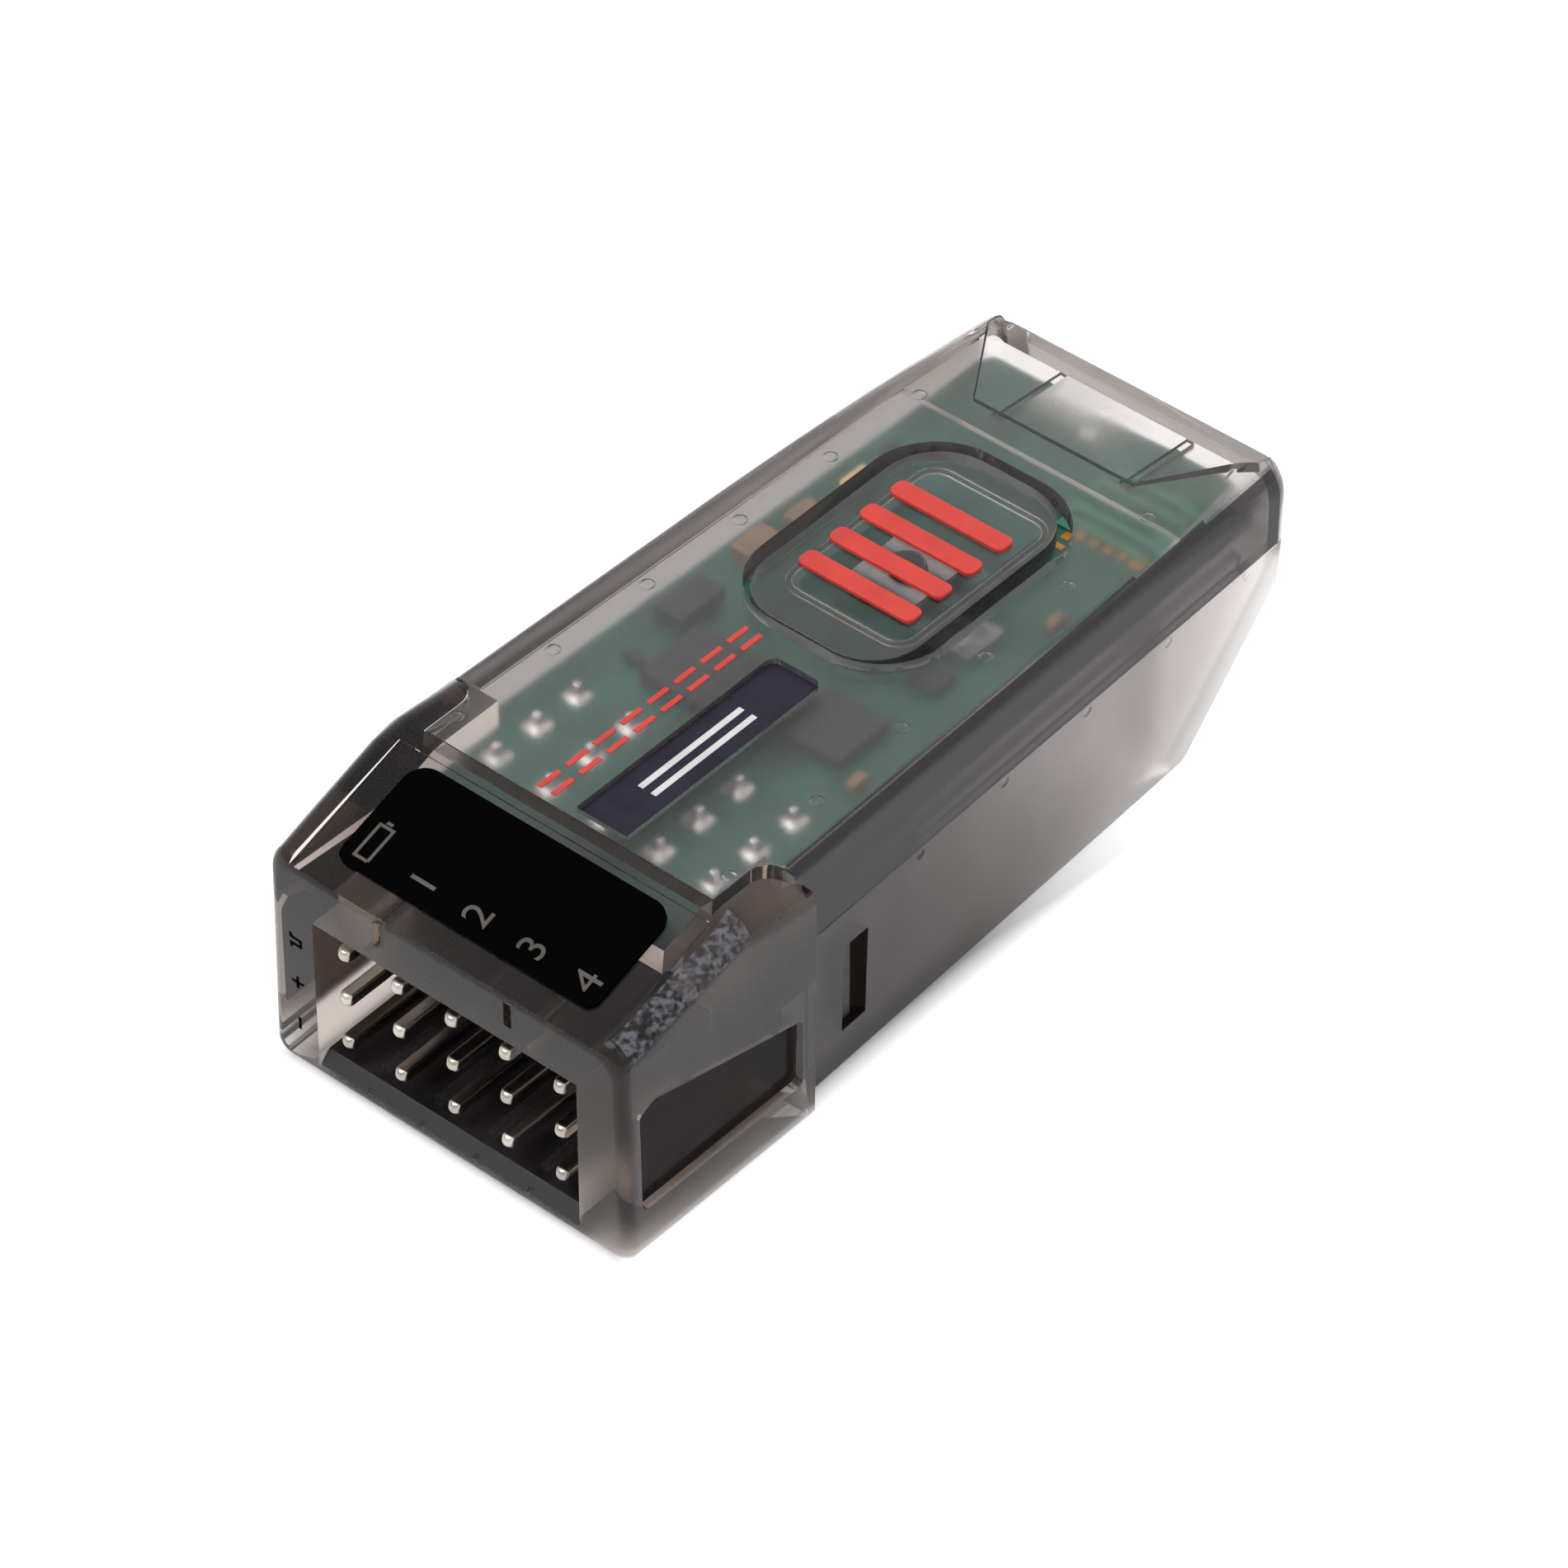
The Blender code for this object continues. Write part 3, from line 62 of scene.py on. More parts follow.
# Points nearer than this are one, and angles in degrees between faces that are flat or sharp
MERGE_REACH = 0.002 * MM
FLAT_ANGLE = 0.3
SHARP_ANGLE = 32.0
# A face is a wall where its normal reaches less than this along an axis
STEEP = 0.6
LOG = logging.getLogger("receiver")

Spot = tuple[float, float]
Place = tuple[float, float, float]


def tone(code: str) -> tuple[float, float, float]:
    """Linear colour of a screen colour such as #4a6b60.

    Args:
        code: hash sign and six hexadecimal digits.

    Returns:
        The red, green and blue that a shader socket takes.
    """
    parts = [int(code[index:index + 2], 16) / 255 for index in (1, 3, 5)]
    red, green, blue = (part / 12.92 if part <= 0.04045 else ((part + 0.055) / 1.055) ** 2.4
                        for part in parts)
    return red, green, blue


def between(start: float, end: float, share: float) -> float:
    """Value at a share of the way from start to end."""
    return start + (end - start) * share


# Meshes


def fillet(corners: Sequence[tuple[float, float, float]], steps: int = 8) -> list[Spot]:
    """Closed outline with rounded corners.

    Args:
        corners: rows of u, v and the radius of that corner.
        steps: pieces that each rounding is divided into.

    Returns:
        The points of the outline.
    """
    points: list[Spot] = []
    for index, (u, v, radius) in enumerate(corners):
        here = Vector((u, v))
        if radius <= 0:
            points.append((u, v))
            continue
        back = (Vector(corners[index - 1][:2]) - here).normalized()
        ahead = (Vector(corners[(index + 1) % len(corners)][:2]) - here).normalized()
        half_angle = math.acos(max(-1.0, min(1.0, back.dot(ahead)))) / 2
        centre = here + (back + ahead).normalized() * (radius / math.sin(half_angle))
        start = here + back * (radius / math.tan(half_angle)) - centre
        sweep = (math.pi - 2 * half_angle) * (1 if back.cross(ahead) < 0 else -1)
        for step in range(steps + 1):
            spot = centre + start @ Matrix.Rotation(-sweep * step / steps, 2)
            points.append((spot.x, spot.y))
    return points


class Surface(Enum):
    """How a face of a clear moulding is finished: its shares of frosting and of painted shade.
    """

    POLISHED = (0.0, 0.0)
    INSIDE = (0.54, 0.0)
    FROSTED = (0.8, 0.0)
    # Crazed faces: real matt crazing, with pale flecks as painted glints
    CRAZED = (1.0, 0.3)
    # Painted shade: darker edges, flanks and recesses stand for the dark that refraction shows
    # there
    EDGE = (0.1, 0.92)
    SHADED_FLANK = (0.2, 0.94)
    RECESS = (0.3, 1.0)
    DIM = (0.54, 0.66)
    GREY = (0.2, 0.8)

    def material(self) -> bpy.types.Material:
        """Material that marks faces of this kind until the moulding is finished."""
        name = f"mark_{self.name.lower()}"
        return bpy.data.materials.get(name) or bpy.data.materials.new(name)


Look = bpy.types.Material | Surface


def as_material(finish: Look) -> bpy.types.Material:
    """The material itself, or the one that marks a surface of the clear moulding."""
    return finish.material() if isinstance(finish, Surface) else finish


def rounded_box(left: float, right: float, low: float, high: float,
                low_radius: float, high_radius: float, steps: int = 8) -> list[Spot]:
    """Outline of a box with one rounding at its low end and one at its high end."""
    return fillet([(left, low, low_radius), (right, low, low_radius),
                   (right, high, high_radius), (left, high, high_radius)], steps)


def circle(u: float, v: float, radius: float, sides: int) -> list[Spot]:
    """Outline of a round shape around a centre."""
    return [(u + radius * math.cos(math.tau * (step + 0.5) / sides),
             v + radius * math.sin(math.tau * (step + 0.5) / sides)) for step in range(sides)]


class Solid:
    """Closed mesh that other closed meshes are cut from and joined to."""

    def __init__(self, name: str, rings: Sequence[Sequence[Place]], finish: Look) -> None:
        """Build the mesh through rings of points.

        Args:
            name: name of the object.
            rings: rows of points that all have the same count.
            finish: material of every face, or how the clear moulding is finished there.
        """
        mesh_data = bmesh.new()
        rows = [[mesh_data.verts.new(point) for point in ring] for ring in rings]
        count = len(rings[0])
        for low, high in zip(rows, rows[1:]):
            for index in range(count):
                after = (index + 1) % count
                mesh_data.faces.new((low[index], low[after], high[after], high[index]))
        mesh_data.faces.new(rows[0])
        mesh_data.faces.new(rows[-1])
        bmesh.ops.recalc_face_normals(mesh_data, faces=mesh_data.faces)
        mesh = bpy.data.meshes.new(name)
        mesh_data.to_mesh(mesh)
        mesh_data.free()
        mesh.materials.append(as_material(finish))
        self.shown = bpy.data.objects.new(name, mesh)
        bpy.context.scene.collection.objects.link(self.shown)

    @classmethod
    def upright(cls, name: str, outline: Sequence[Spot], low: float, high: float,
                finish: Look) -> Solid:
        """Prism with a plan outline of x and y, between two heights."""
        return cls(name, [[(x, y, z) for x, y in outline] for z in (low, high)], finish)

    @classmethod
    def crosswise(cls, name: str, outline: Sequence[Spot], left: float, right: float,
                  finish: Look) -> Solid:
        """Prism with a side outline of y and z, between two places along X."""
        return cls(name, [[(x, y, z) for y, z in outline] for x in (left, right)], finish)

    @classmethod
    def block(cls, name: str, low: Place, high: Place, finish: Look) -> Solid:
        """Box between two corners, as a cutter or an addition."""
        outline = [(low[0], low[1]), (high[0], low[1]), (high[0], high[1]), (low[0], high[1])]
        return cls.upright(name, outline, low[2], high[2], finish)

    def _combine(self, others: Iterable[Solid], operation: str) -> Solid:
        """Apply a boolean operation with other solids, which are used up.

        Args:
            others: solids to cut away or to join.
            operation: DIFFERENCE or UNION.

        Returns:
            The same solid.
        """
        for other in others:
            change = self.shown.modifiers.new(operation, "BOOLEAN")
            change.operation = operation
            change.solver = "EXACT"
            change.material_mode = "TRANSFER"
            change.object = other.shown
            mesh = self._evaluated()
            self.shown.modifiers.clear()
            old = self.shown.data
            self.shown.data = mesh
            bpy.data.meshes.remove(old)
            spent = other.shown.data
            bpy.data.objects.remove(other.shown, do_unlink=True)
            bpy.data.meshes.remove(spent)
        return self

    def _evaluated(self) -> bpy.types.Mesh:
        """Mesh with the modifiers applied."""
        graph = bpy.context.evaluated_depsgraph_get()
        graph.update()
        return bpy.data.meshes.new_from_object(self.shown.evaluated_get(graph),
                                               preserve_all_data_layers=True, depsgraph=graph)

    def cut(self, *others: Solid) -> Solid:
        """Take other solids away."""
        return self._combine(others, "DIFFERENCE")

    def join(self, *others: Solid) -> Solid:
        """Add other solids."""
        return self._combine(others, "UNION")

    def _mend(self, flatten: bool) -> None:
        """Merge doubled points, and where asked faces in one plane.

        Args:
            flatten: whether faces in one plane are merged too.
        """
        mesh_data = bmesh.new()
        mesh_data.from_mesh(self.shown.data)
        bmesh.ops.remove_doubles(mesh_data, verts=mesh_data.verts, dist=MERGE_REACH)
        if flatten:
            bmesh.ops.dissolve_limit(mesh_data, angle_limit=math.radians(FLAT_ANGLE),
                                     verts=mesh_data.verts, edges=mesh_data.edges,
                                     delimit={"MATERIAL"})
        mesh_data.to_mesh(self.shown.data)
        mesh_data.free()

    def soften(self, radius: float, segments: int = 2) -> Solid:
        """Round the sharp edges a little, and shade the faces smoothly.

        Args:
            radius: width of the rounding.
            segments: faces across the rounding.

        Returns:
            The same solid.
        """
        self._mend(flatten=True)
        change = self.shown.modifiers.new("soften", "BEVEL")
        change.width = radius
        change.segments = segments
        change.limit_method = "ANGLE"
        change.angle_limit = math.radians(SHARP_ANGLE)
        change.use_clamp_overlap = True
        change.miter_outer = "MITER_ARC"
        self.shown.data = self._evaluated()
        self.shown.modifiers.clear()
        self._mend(flatten=False)
        return self.smooth()

    def smooth(self, angle: float = 50.0) -> Solid:
        """Shade smoothly, and keep wide faces flat.

        Args:
            angle: least angle in degrees between faces that stays a sharp edge.

        Returns:
            The same solid.
        """
        self.shown.data.shade_smooth()
        self.shown.data.set_sharp_from_angle(angle=math.radians(angle))
        change = self.shown.modifiers.new("even", "WEIGHTED_NORMAL")
        change.mode = "FACE_AREA"
        change.keep_sharp = True
        self.shown.data = self._evaluated()
        self.shown.modifiers.clear()
        return self

    def mould(self, finish: bpy.types.Material) -> Solid:
        """Turn the surfaces that the faces are marked with into one clear finish.

        Args:
            finish: material that reads the frosting of each face.

        Returns:
            The same solid.
        """
        mesh = self.shown.data
        marks = {mark.material().name: mark.value for mark in Surface}
        shares = [marks[mesh.materials[face.material_index].name] for face in mesh.polygons]
        for name, values in zip(("frost", "shade"), zip(*shares)):
            mesh.attributes.new(name, "FLOAT", "FACE").data.foreach_set("value", values)
        mesh.materials.clear()
        mesh.materials.append(finish)
        return self

    def paint(self, finish: Look, belongs: Callable[[Vector, Vector], bool]) -> Solid:
        """Give a finish to the faces that a test picks.

        Args:
            finish: material of the faces.
            belongs: test of a face by its centre and its normal.

        Returns:
            The same solid.
        """
        mesh = self.shown.data
        mesh.materials.append(as_material(finish))
        last = len(mesh.materials) - 1
        for face in mesh.polygons:
            if belongs(face.center, face.normal):
                face.material_index = last
        return self


def wear(piece: Solid | bpy.types.Object, body: str, slot: str, *nodes: str) -> None:
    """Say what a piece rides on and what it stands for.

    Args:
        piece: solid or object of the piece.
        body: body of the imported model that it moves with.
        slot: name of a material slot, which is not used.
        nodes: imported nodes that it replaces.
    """
    shown = piece.shown if isinstance(piece, Solid) else piece
    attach(shown, body)
    if nodes:
        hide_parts(*nodes)
    count = sum(len(face.vertices) - 2 for face in shown.data.polygons)
    LOG.info("%s: %d triangles on %s", shown.name, count, body)


# Finishes


class Painter:
    """Builds the nodes of one material, or of the world."""

    def __init__(self, owner: bpy.types.Material | bpy.types.World,
                 output: str = "OutputMaterial") -> None:
        """Start with nothing but the output and the object's coordinates.

        Args:
            owner: new material or world.
            output: kind of its output node, without ShaderNode.
        """
        owner.use_nodes = True
        self.owner = owner
        self.tree = owner.node_tree
        self.tree.nodes.clear()
        self.output = self.add(output)
        self.place = self.add("TexCoord").outputs["Object"]

    def add(self, kind: str, **values: object) -> bpy.types.Node:
        """Add a node and set its plain values.

        Args:
            kind: name of the node type, without ShaderNode.
            values: sockets by name with underscores for spaces, or node settings.

        Returns:
            The node.
        """
        node = self.tree.nodes.new("ShaderNode" + kind)
        for name, value in values.items():
            socket = node.inputs.get(name.replace("_", " "))
            if socket is None:
                setattr(node, name, value)
            elif isinstance(value, bpy.types.NodeSocket):
                self.tree.links.new(value, socket)
            elif socket.type == "RGBA" and len(value) == 3:
                socket.default_value = (*value, 1.0)
            else:
                socket.default_value = value
        return node

    def stretched(self, scale: Place) -> bpy.types.NodeSocket:
        """Object coordinates stretched by a scale for each axis.

        Args:
            scale: a share for each axis.

        Returns:
            The coordinates.
        """
        mapping = self.add("Mapping", Vector=self.place)
        mapping.inputs["Scale"].default_value = scale
        return mapping.outputs["Vector"]

    def noise(self, scale: float, detail: float = 3.0,
              vector: bpy.types.NodeSocket | None = None) -> bpy.types.NodeSocket:
        """Value of a noise, with its grains per metre as scale."""
        node = self.add("TexNoise", Vector=vector or self.place, Scale=scale, Detail=detail)
        return node.outputs["Fac"]

    def span(self, value: bpy.types.NodeSocket, low: float, high: float,
             start: float = 0.0, end: float = 1.0) -> bpy.types.NodeSocket:
        """A value moved from one span to another.

        Args:
            value: the value.
            low: what start becomes.
            high: what end becomes.
            start: one end of the span that it comes from.
            end: the other end.

        Returns:
            The moved value.
        """
        node = self.add("MapRange", Value=value)
        for name, number in (("From Min", start), ("From Max", end),
                             ("To Min", low), ("To Max", high)):
            node.inputs[name].default_value = number
        return node.outputs["Result"]

    def blend(self, share: bpy.types.NodeSocket, first: Place | bpy.types.NodeSocket,
              second: Place) -> bpy.types.NodeSocket:
        """Colour between two colours.

        Args:
            share: how far it is from the first to the second.
            first: colour, or the socket of one.
            second: colour.

        Returns:
            The colour.
        """
        node = self.add("Mix", data_type="RGBA")
        self.tree.links.new(share, node.inputs[0])
        if isinstance(first, bpy.types.NodeSocket):
            self.tree.links.new(first, node.inputs[6])
        else:
            node.inputs[6].default_value = (*first, 1.0)
        node.inputs[7].default_value = (*second, 1.0)
        return node.outputs[2]

    def work_out(self, operation: str, first: bpy.types.NodeSocket,
                 second: bpy.types.NodeSocket) -> bpy.types.NodeSocket:
        """Work out something from two values.

        Args:
            operation: ADD, MULTIPLY or MAXIMUM.
            first: one value.
            second: the other one.

        Returns:
            The result.
        """
        node = self.add("Math", operation=operation)
        self.tree.links.new(first, node.inputs[0])
        self.tree.links.new(second, node.inputs[1])
        return node.outputs[0]

    def mix(self, share: bpy.types.NodeSocket, first: bpy.types.Node,
            second: bpy.types.Node) -> bpy.types.Node:
        """Shader between two shaders.

        Args:
            share: how far it is from the first to the second.
            first: node of one shader.
            second: node of the other one.

        Returns:
            The node that mixes them.
        """
        node = self.add("MixShader")
        for index, source in enumerate((share, first.outputs[0], second.outputs[0])):
            self.tree.links.new(source, node.inputs[index])
        return node

    def bump(self, height: bpy.types.NodeSocket, depth: float,
             **values: bpy.types.NodeSocket) -> bpy.types.NodeSocket:
        """Normal that a height of this depth in metres gives."""
        return self.add("Bump", Height=height, Distance=depth, **values).outputs["Normal"]

    def seen(self) -> bpy.types.NodeSocket:
        """1 for a ray from the camera, off a gloss or through something clear."""
        rays = self.add("LightPath").outputs
        return self.work_out("MAXIMUM", self.work_out("MAXIMUM", rays["Is Camera Ray"],
                                                      rays["Is Glossy Ray"]),
                             rays["Is Transmission Ray"])

    def finish(self, shader: bpy.types.Node) -> bpy.types.Material | bpy.types.World:
        """Show a shader, and hand over what it was made for."""
        self.tree.links.new(shader.outputs[0], self.output.inputs["Surface"])
        return self.owner


@dataclass(frozen=True)
class SmokedPlastic:
    """Smoked clear moulding, which is polished, frosted or crazed from face to face.

    Shaded faces get painted shade, a tint and a dark diffuse layer, and painted shade greys the
    moulding towards its front.
    """

    name: str = "smoked_plastic"
    smoke: str = "#b3a49a"
    density: float = 240.0
    bend: float = 1.35
    lamp_share: float = 0.88
    polish: float = 0.05
    frost: float = 0.6
    cloud: float = 0.04
    cloud_scale: float = 600.0
    grain: float = 0.003 * MM
    grain_scale: float = 7000.0
    grain_least: float = 0.15
    coat: float = 0.3
    coat_bend: float = 1.45
    craze: float = 0.05 * MM
    craze_scale: float = 2600.0
    craze_start: float = 0.85
    craze_share: float = 0.6
    # Pale tone of the flecks on crazed faces, which are painted glints
    craze_glint_tone: str = "#8a8e99"
    fleck_scale: float = 3200.0
    fleck_span: tuple[float, float] = (0.42, 0.62)
    # Painted shade: tint and dark diffuse layer of shaded faces
    shade: str = "#4a3a34"
    painted_shade: str = "#1d1817"
    painted_shade_share: float = 0.72
    painted_shade_start: float = 0.7
    # Painted shade: grey that darkens the moulding towards its front
    front_shade: str = "#8c868a"
    front_shade_start: float = 22.0 * MM
    front_shade_end: float = -5.0 * MM
    front_shade_share: float = 0.0

    def relief(self, art: Painter, frost: bpy.types.NodeSocket) -> bpy.types.NodeSocket:
        """Normal of the fine grain and of the crazing.

        Args:
            art: painter of the material.
            frost: how frosted the face is.

        Returns:
            The normal.
        """
        fine = art.bump(art.noise(self.grain_scale, 2.0), self.grain,
                        Strength=art.span(frost, self.grain_least, 1.0))
        crazed = art.span(frost, 0.0, 1.0, self.craze_start, 1.0)
        return art.bump(art.noise(self.craze_scale), self.craze, Strength=crazed, Normal=fine)

    def clear(self, art: Painter, frost: bpy.types.NodeSocket, shade: bpy.types.NodeSocket,
              normal: bpy.types.NodeSocket) -> bpy.types.Node:
        """Clear plastic, which painted shade tints towards its front and in its shaded faces.

        Args:
            art: painter of the material.
            frost: how frosted the face is.
            shade: how shaded the face is.
            normal: normal with the relief.

        Returns:
            The shader.
        """
        cloud = art.span(art.noise(self.cloud_scale, 4.0), -self.cloud, self.cloud, 0.3, 0.7)
        # Painted shade: the plastic turns greyer towards the front
        along = art.add("SeparateXYZ", Vector=art.place).outputs["Y"]
        front_shade = art.blend(art.span(along, 0.0, self.front_shade_share, self.front_shade_start, self.front_shade_end),
                         (1.0, 1.0, 1.0), tone(self.front_shade))
        return art.add(
            "BsdfPrincipled", IOR=self.bend, Transmission_Weight=1.0, Normal=normal,
            Base_Color=art.blend(shade, front_shade, tone(self.shade)), Coat_Weight=self.coat,
            Roughness=art.work_out("ADD", art.span(frost, self.polish, self.frost), cloud),
            Coat_Roughness=self.polish, Coat_IOR=self.coat_bend, Coat_Normal=normal)

    def build(self) -> bpy.types.Material:
        """Make the material."""
        art = Painter(bpy.data.materials.new(self.name))
        frost = art.add("Attribute", attribute_name="frost").outputs["Fac"]
        shade = art.add("Attribute", attribute_name="shade").outputs["Fac"]
        normal = self.relief(art, frost)
        # Painted shade: shaded faces get a dark diffuse layer over the clear plastic
        painted_shade = art.span(shade, 0.0, 1.0, self.painted_shade_start, 1.0)
        glint_and_shade_layer = art.add("BsdfDiffuse", Normal=normal,
                       Color=art.blend(painted_shade, tone(self.craze_glint_tone), tone(self.painted_shade)))
        # Painted glints: pale flecks on crazed faces
        flecks = art.work_out(
            "MULTIPLY", art.span(frost, 0.0, self.craze_share, self.craze_start, 1.0),
            art.span(art.noise(self.fleck_scale), 0.0, 1.0, *self.fleck_span))
        # Share of the diffuse layer: painted glints on crazed faces, painted shade on shaded
        # faces
        cover = art.work_out("MAXIMUM", flecks,
                             art.span(shade, 0.0, self.painted_shade_share, self.painted_shade_start, 1.0))
        skin = art.mix(cover, self.clear(art, frost, shade, normal), glint_and_shade_layer)
        lamplight = art.add("BsdfTransparent", Color=(self.lamp_share,) * 3)
        smoke = art.add("VolumeAbsorption", Color=tone(self.smoke), Density=self.density)
        art.tree.links.new(smoke.outputs[0], art.output.inputs["Volume"])
        rays = art.add("LightPath").outputs
        return art.finish(art.mix(rays["Is Shadow Ray"], skin, lamplight))


@dataclass(frozen=True)
class Moulded:
    """Opaque moulding, print or label with a fine grain and a little uneven colour."""

    name: str
    colour: str
    shade: str
    roughness: float = 0.45
    grain: float = 0.006 * MM
    grain_scale: float = 9000.0
    patch_scale: float = 500.0
    metallic: float = 0.0
    gloss: float = 0.5
    stretch: Place = (1.0, 1.0, 1.0)

    def build(self) -> bpy.types.Material:
        """Make the material."""
        art = Painter(bpy.data.materials.new(self.name))
        vector = art.stretched(self.stretch)
        patch = art.span(art.noise(self.patch_scale, 5.0, vector), 0.0, 1.0, 0.35, 0.65)
        rough = art.span(patch, self.roughness * 0.8, min(1.0, self.roughness * 1.25))
        normal = art.bump(art.noise(self.grain_scale, 3.0, vector), self.grain)
        shader = art.add("BsdfPrincipled", Roughness=rough, Normal=normal,
                         Base_Color=art.blend(patch, tone(self.shade), tone(self.colour)))
        shader.inputs["Metallic"].default_value = self.metallic
        shader.inputs["Specular IOR Level"].default_value = self.gloss
        return art.finish(shader)


@dataclass(frozen=True)
class BoardMask:
    """Solder mask over glass cloth, with the copper under it showing as paler fields."""

    name: str = "board_mask"
    mask: str = "#0f483d"
    pour: str = "#1d5d50"
    pour_scale: float = 420.0
    weave_scale: float = 1400.0
    weave_depth: float = 0.004 * MM

    def build(self) -> bpy.types.Material:
        """Make the material."""
        art = Painter(bpy.data.materials.new(self.name))
        cells = art.add("TexVoronoi", Vector=art.place, Scale=self.pour_scale,
                        distance="CHEBYCHEV")
        field = art.span(cells.outputs["Distance"], 0.0, 1.0, 0.25, 0.75)
        warp, weft = (art.add("TexWave", Vector=art.place, Scale=self.weave_scale,
                              bands_direction=axis).outputs["Fac"] for axis in "XY")
        cloth = art.work_out("MULTIPLY", warp, weft)
        return art.finish(art.add(
            "BsdfPrincipled", Roughness=art.span(field, 0.28, 0.42),
            Base_Color=art.blend(field, tone(self.mask), tone(self.pour)),
            Normal=art.bump(cloth, self.weave_depth)))


@dataclass(frozen=True)
class Finishes:
    """Every finish of the receiver, made once."""

    smoke: bpy.types.Material
    nose_smoke: bpy.types.Material
    base_smoke: bpy.types.Material
    label: bpy.types.Material
    slate: bpy.types.Material
    grey_ink: bpy.types.Material
    white_ink: bpy.types.Material
    dark_ink: bpy.types.Material
    red_ink: bpy.types.Material
    mask: bpy.types.Material
    edge: bpy.types.Material
    tin: bpy.types.Material
    solder: bpy.types.Material
    block: bpy.types.Material
    package: bpy.types.Material
    shield: bpy.types.Material
    ceramic: bpy.types.Material
    resistor: bpy.types.Material
    lamp: bpy.types.Material
    gilt: bpy.types.Material
    track: bpy.types.Material

    @classmethod
    def make(cls) -> Finishes:
        """Build the materials."""
        return cls(
            smoke=SmokedPlastic().build(),
            nose_smoke=SmokedPlastic("smoked_nose", smoke="#b39f92", density=320.0,
                                     bend=1.3, coat=0.1).build(),
            base_smoke=SmokedPlastic("smoked_base", front_shade_share=1.0, coat=0.15).build(),
            label=Moulded("label_film", "#040303", "#020202", 0.45, gloss=0.01).build(),
            slate=Moulded("plate_film", "#2b2a3a", "#22212f", 0.4, gloss=0.15).build(),
            grey_ink=Moulded("grey_ink", "#6e6963", "#5d5852", 0.55, gloss=0.1).build(),
            white_ink=Moulded("white_ink", "#f2f2f2", "#e2e2e2", 0.5).build(),
            dark_ink=Moulded("dark_ink", "#1d191a", "#100d0e", 0.5).build(),
            red_ink=Moulded("red_ink", "#e9473b", "#dd3a30", 0.42).build(),
            mask=BoardMask().build(),
            edge=Moulded("board_edge", "#6b7a4c", "#4d5c36", 0.6).build(),
            tin=Moulded("tinned_pin", "#bbb5ac", "#958f86", 0.24, 0.003 * MM, 4000.0,
                        900.0, 1.0, stretch=(1.0, 0.12, 1.0)).build(),
            solder=Moulded("solder", "#dcd8d6", "#bdb7b6", 0.3, 0.02 * MM, 1500.0,
                           700.0, 0.9).build(),
            block=Moulded("header_moulding", "#1b1818", "#0f0d0d", 0.5).build(),
            package=Moulded("epoxy_package", "#252d30", "#1b2224", 0.55, 0.01 * MM).build(),
            shield=Moulded("tinned_cover", "#b9b8ba", "#97969a", 0.32, 0.004 * MM, 3000.0,
                           800.0, 1.0).build(),
            ceramic=Moulded("ceramic", "#8f7357", "#775e45", 0.5, 0.01 * MM).build(),
            resistor=Moulded("thick_film", "#1c1c22", "#111115", 0.35).build(),
            lamp=Moulded("lamp_body", "#e8c98f", "#d8b273", 0.3).build(),
            gilt=Moulded("gilt_copper", "#d29a4a", "#b47a30", 0.32, 0.003 * MM, 3000.0,
                         700.0, 0.9).build(),
            track=Moulded("masked_track", "#3a8468", "#2f7359", 0.4, 0.004 * MM).build())


# Case


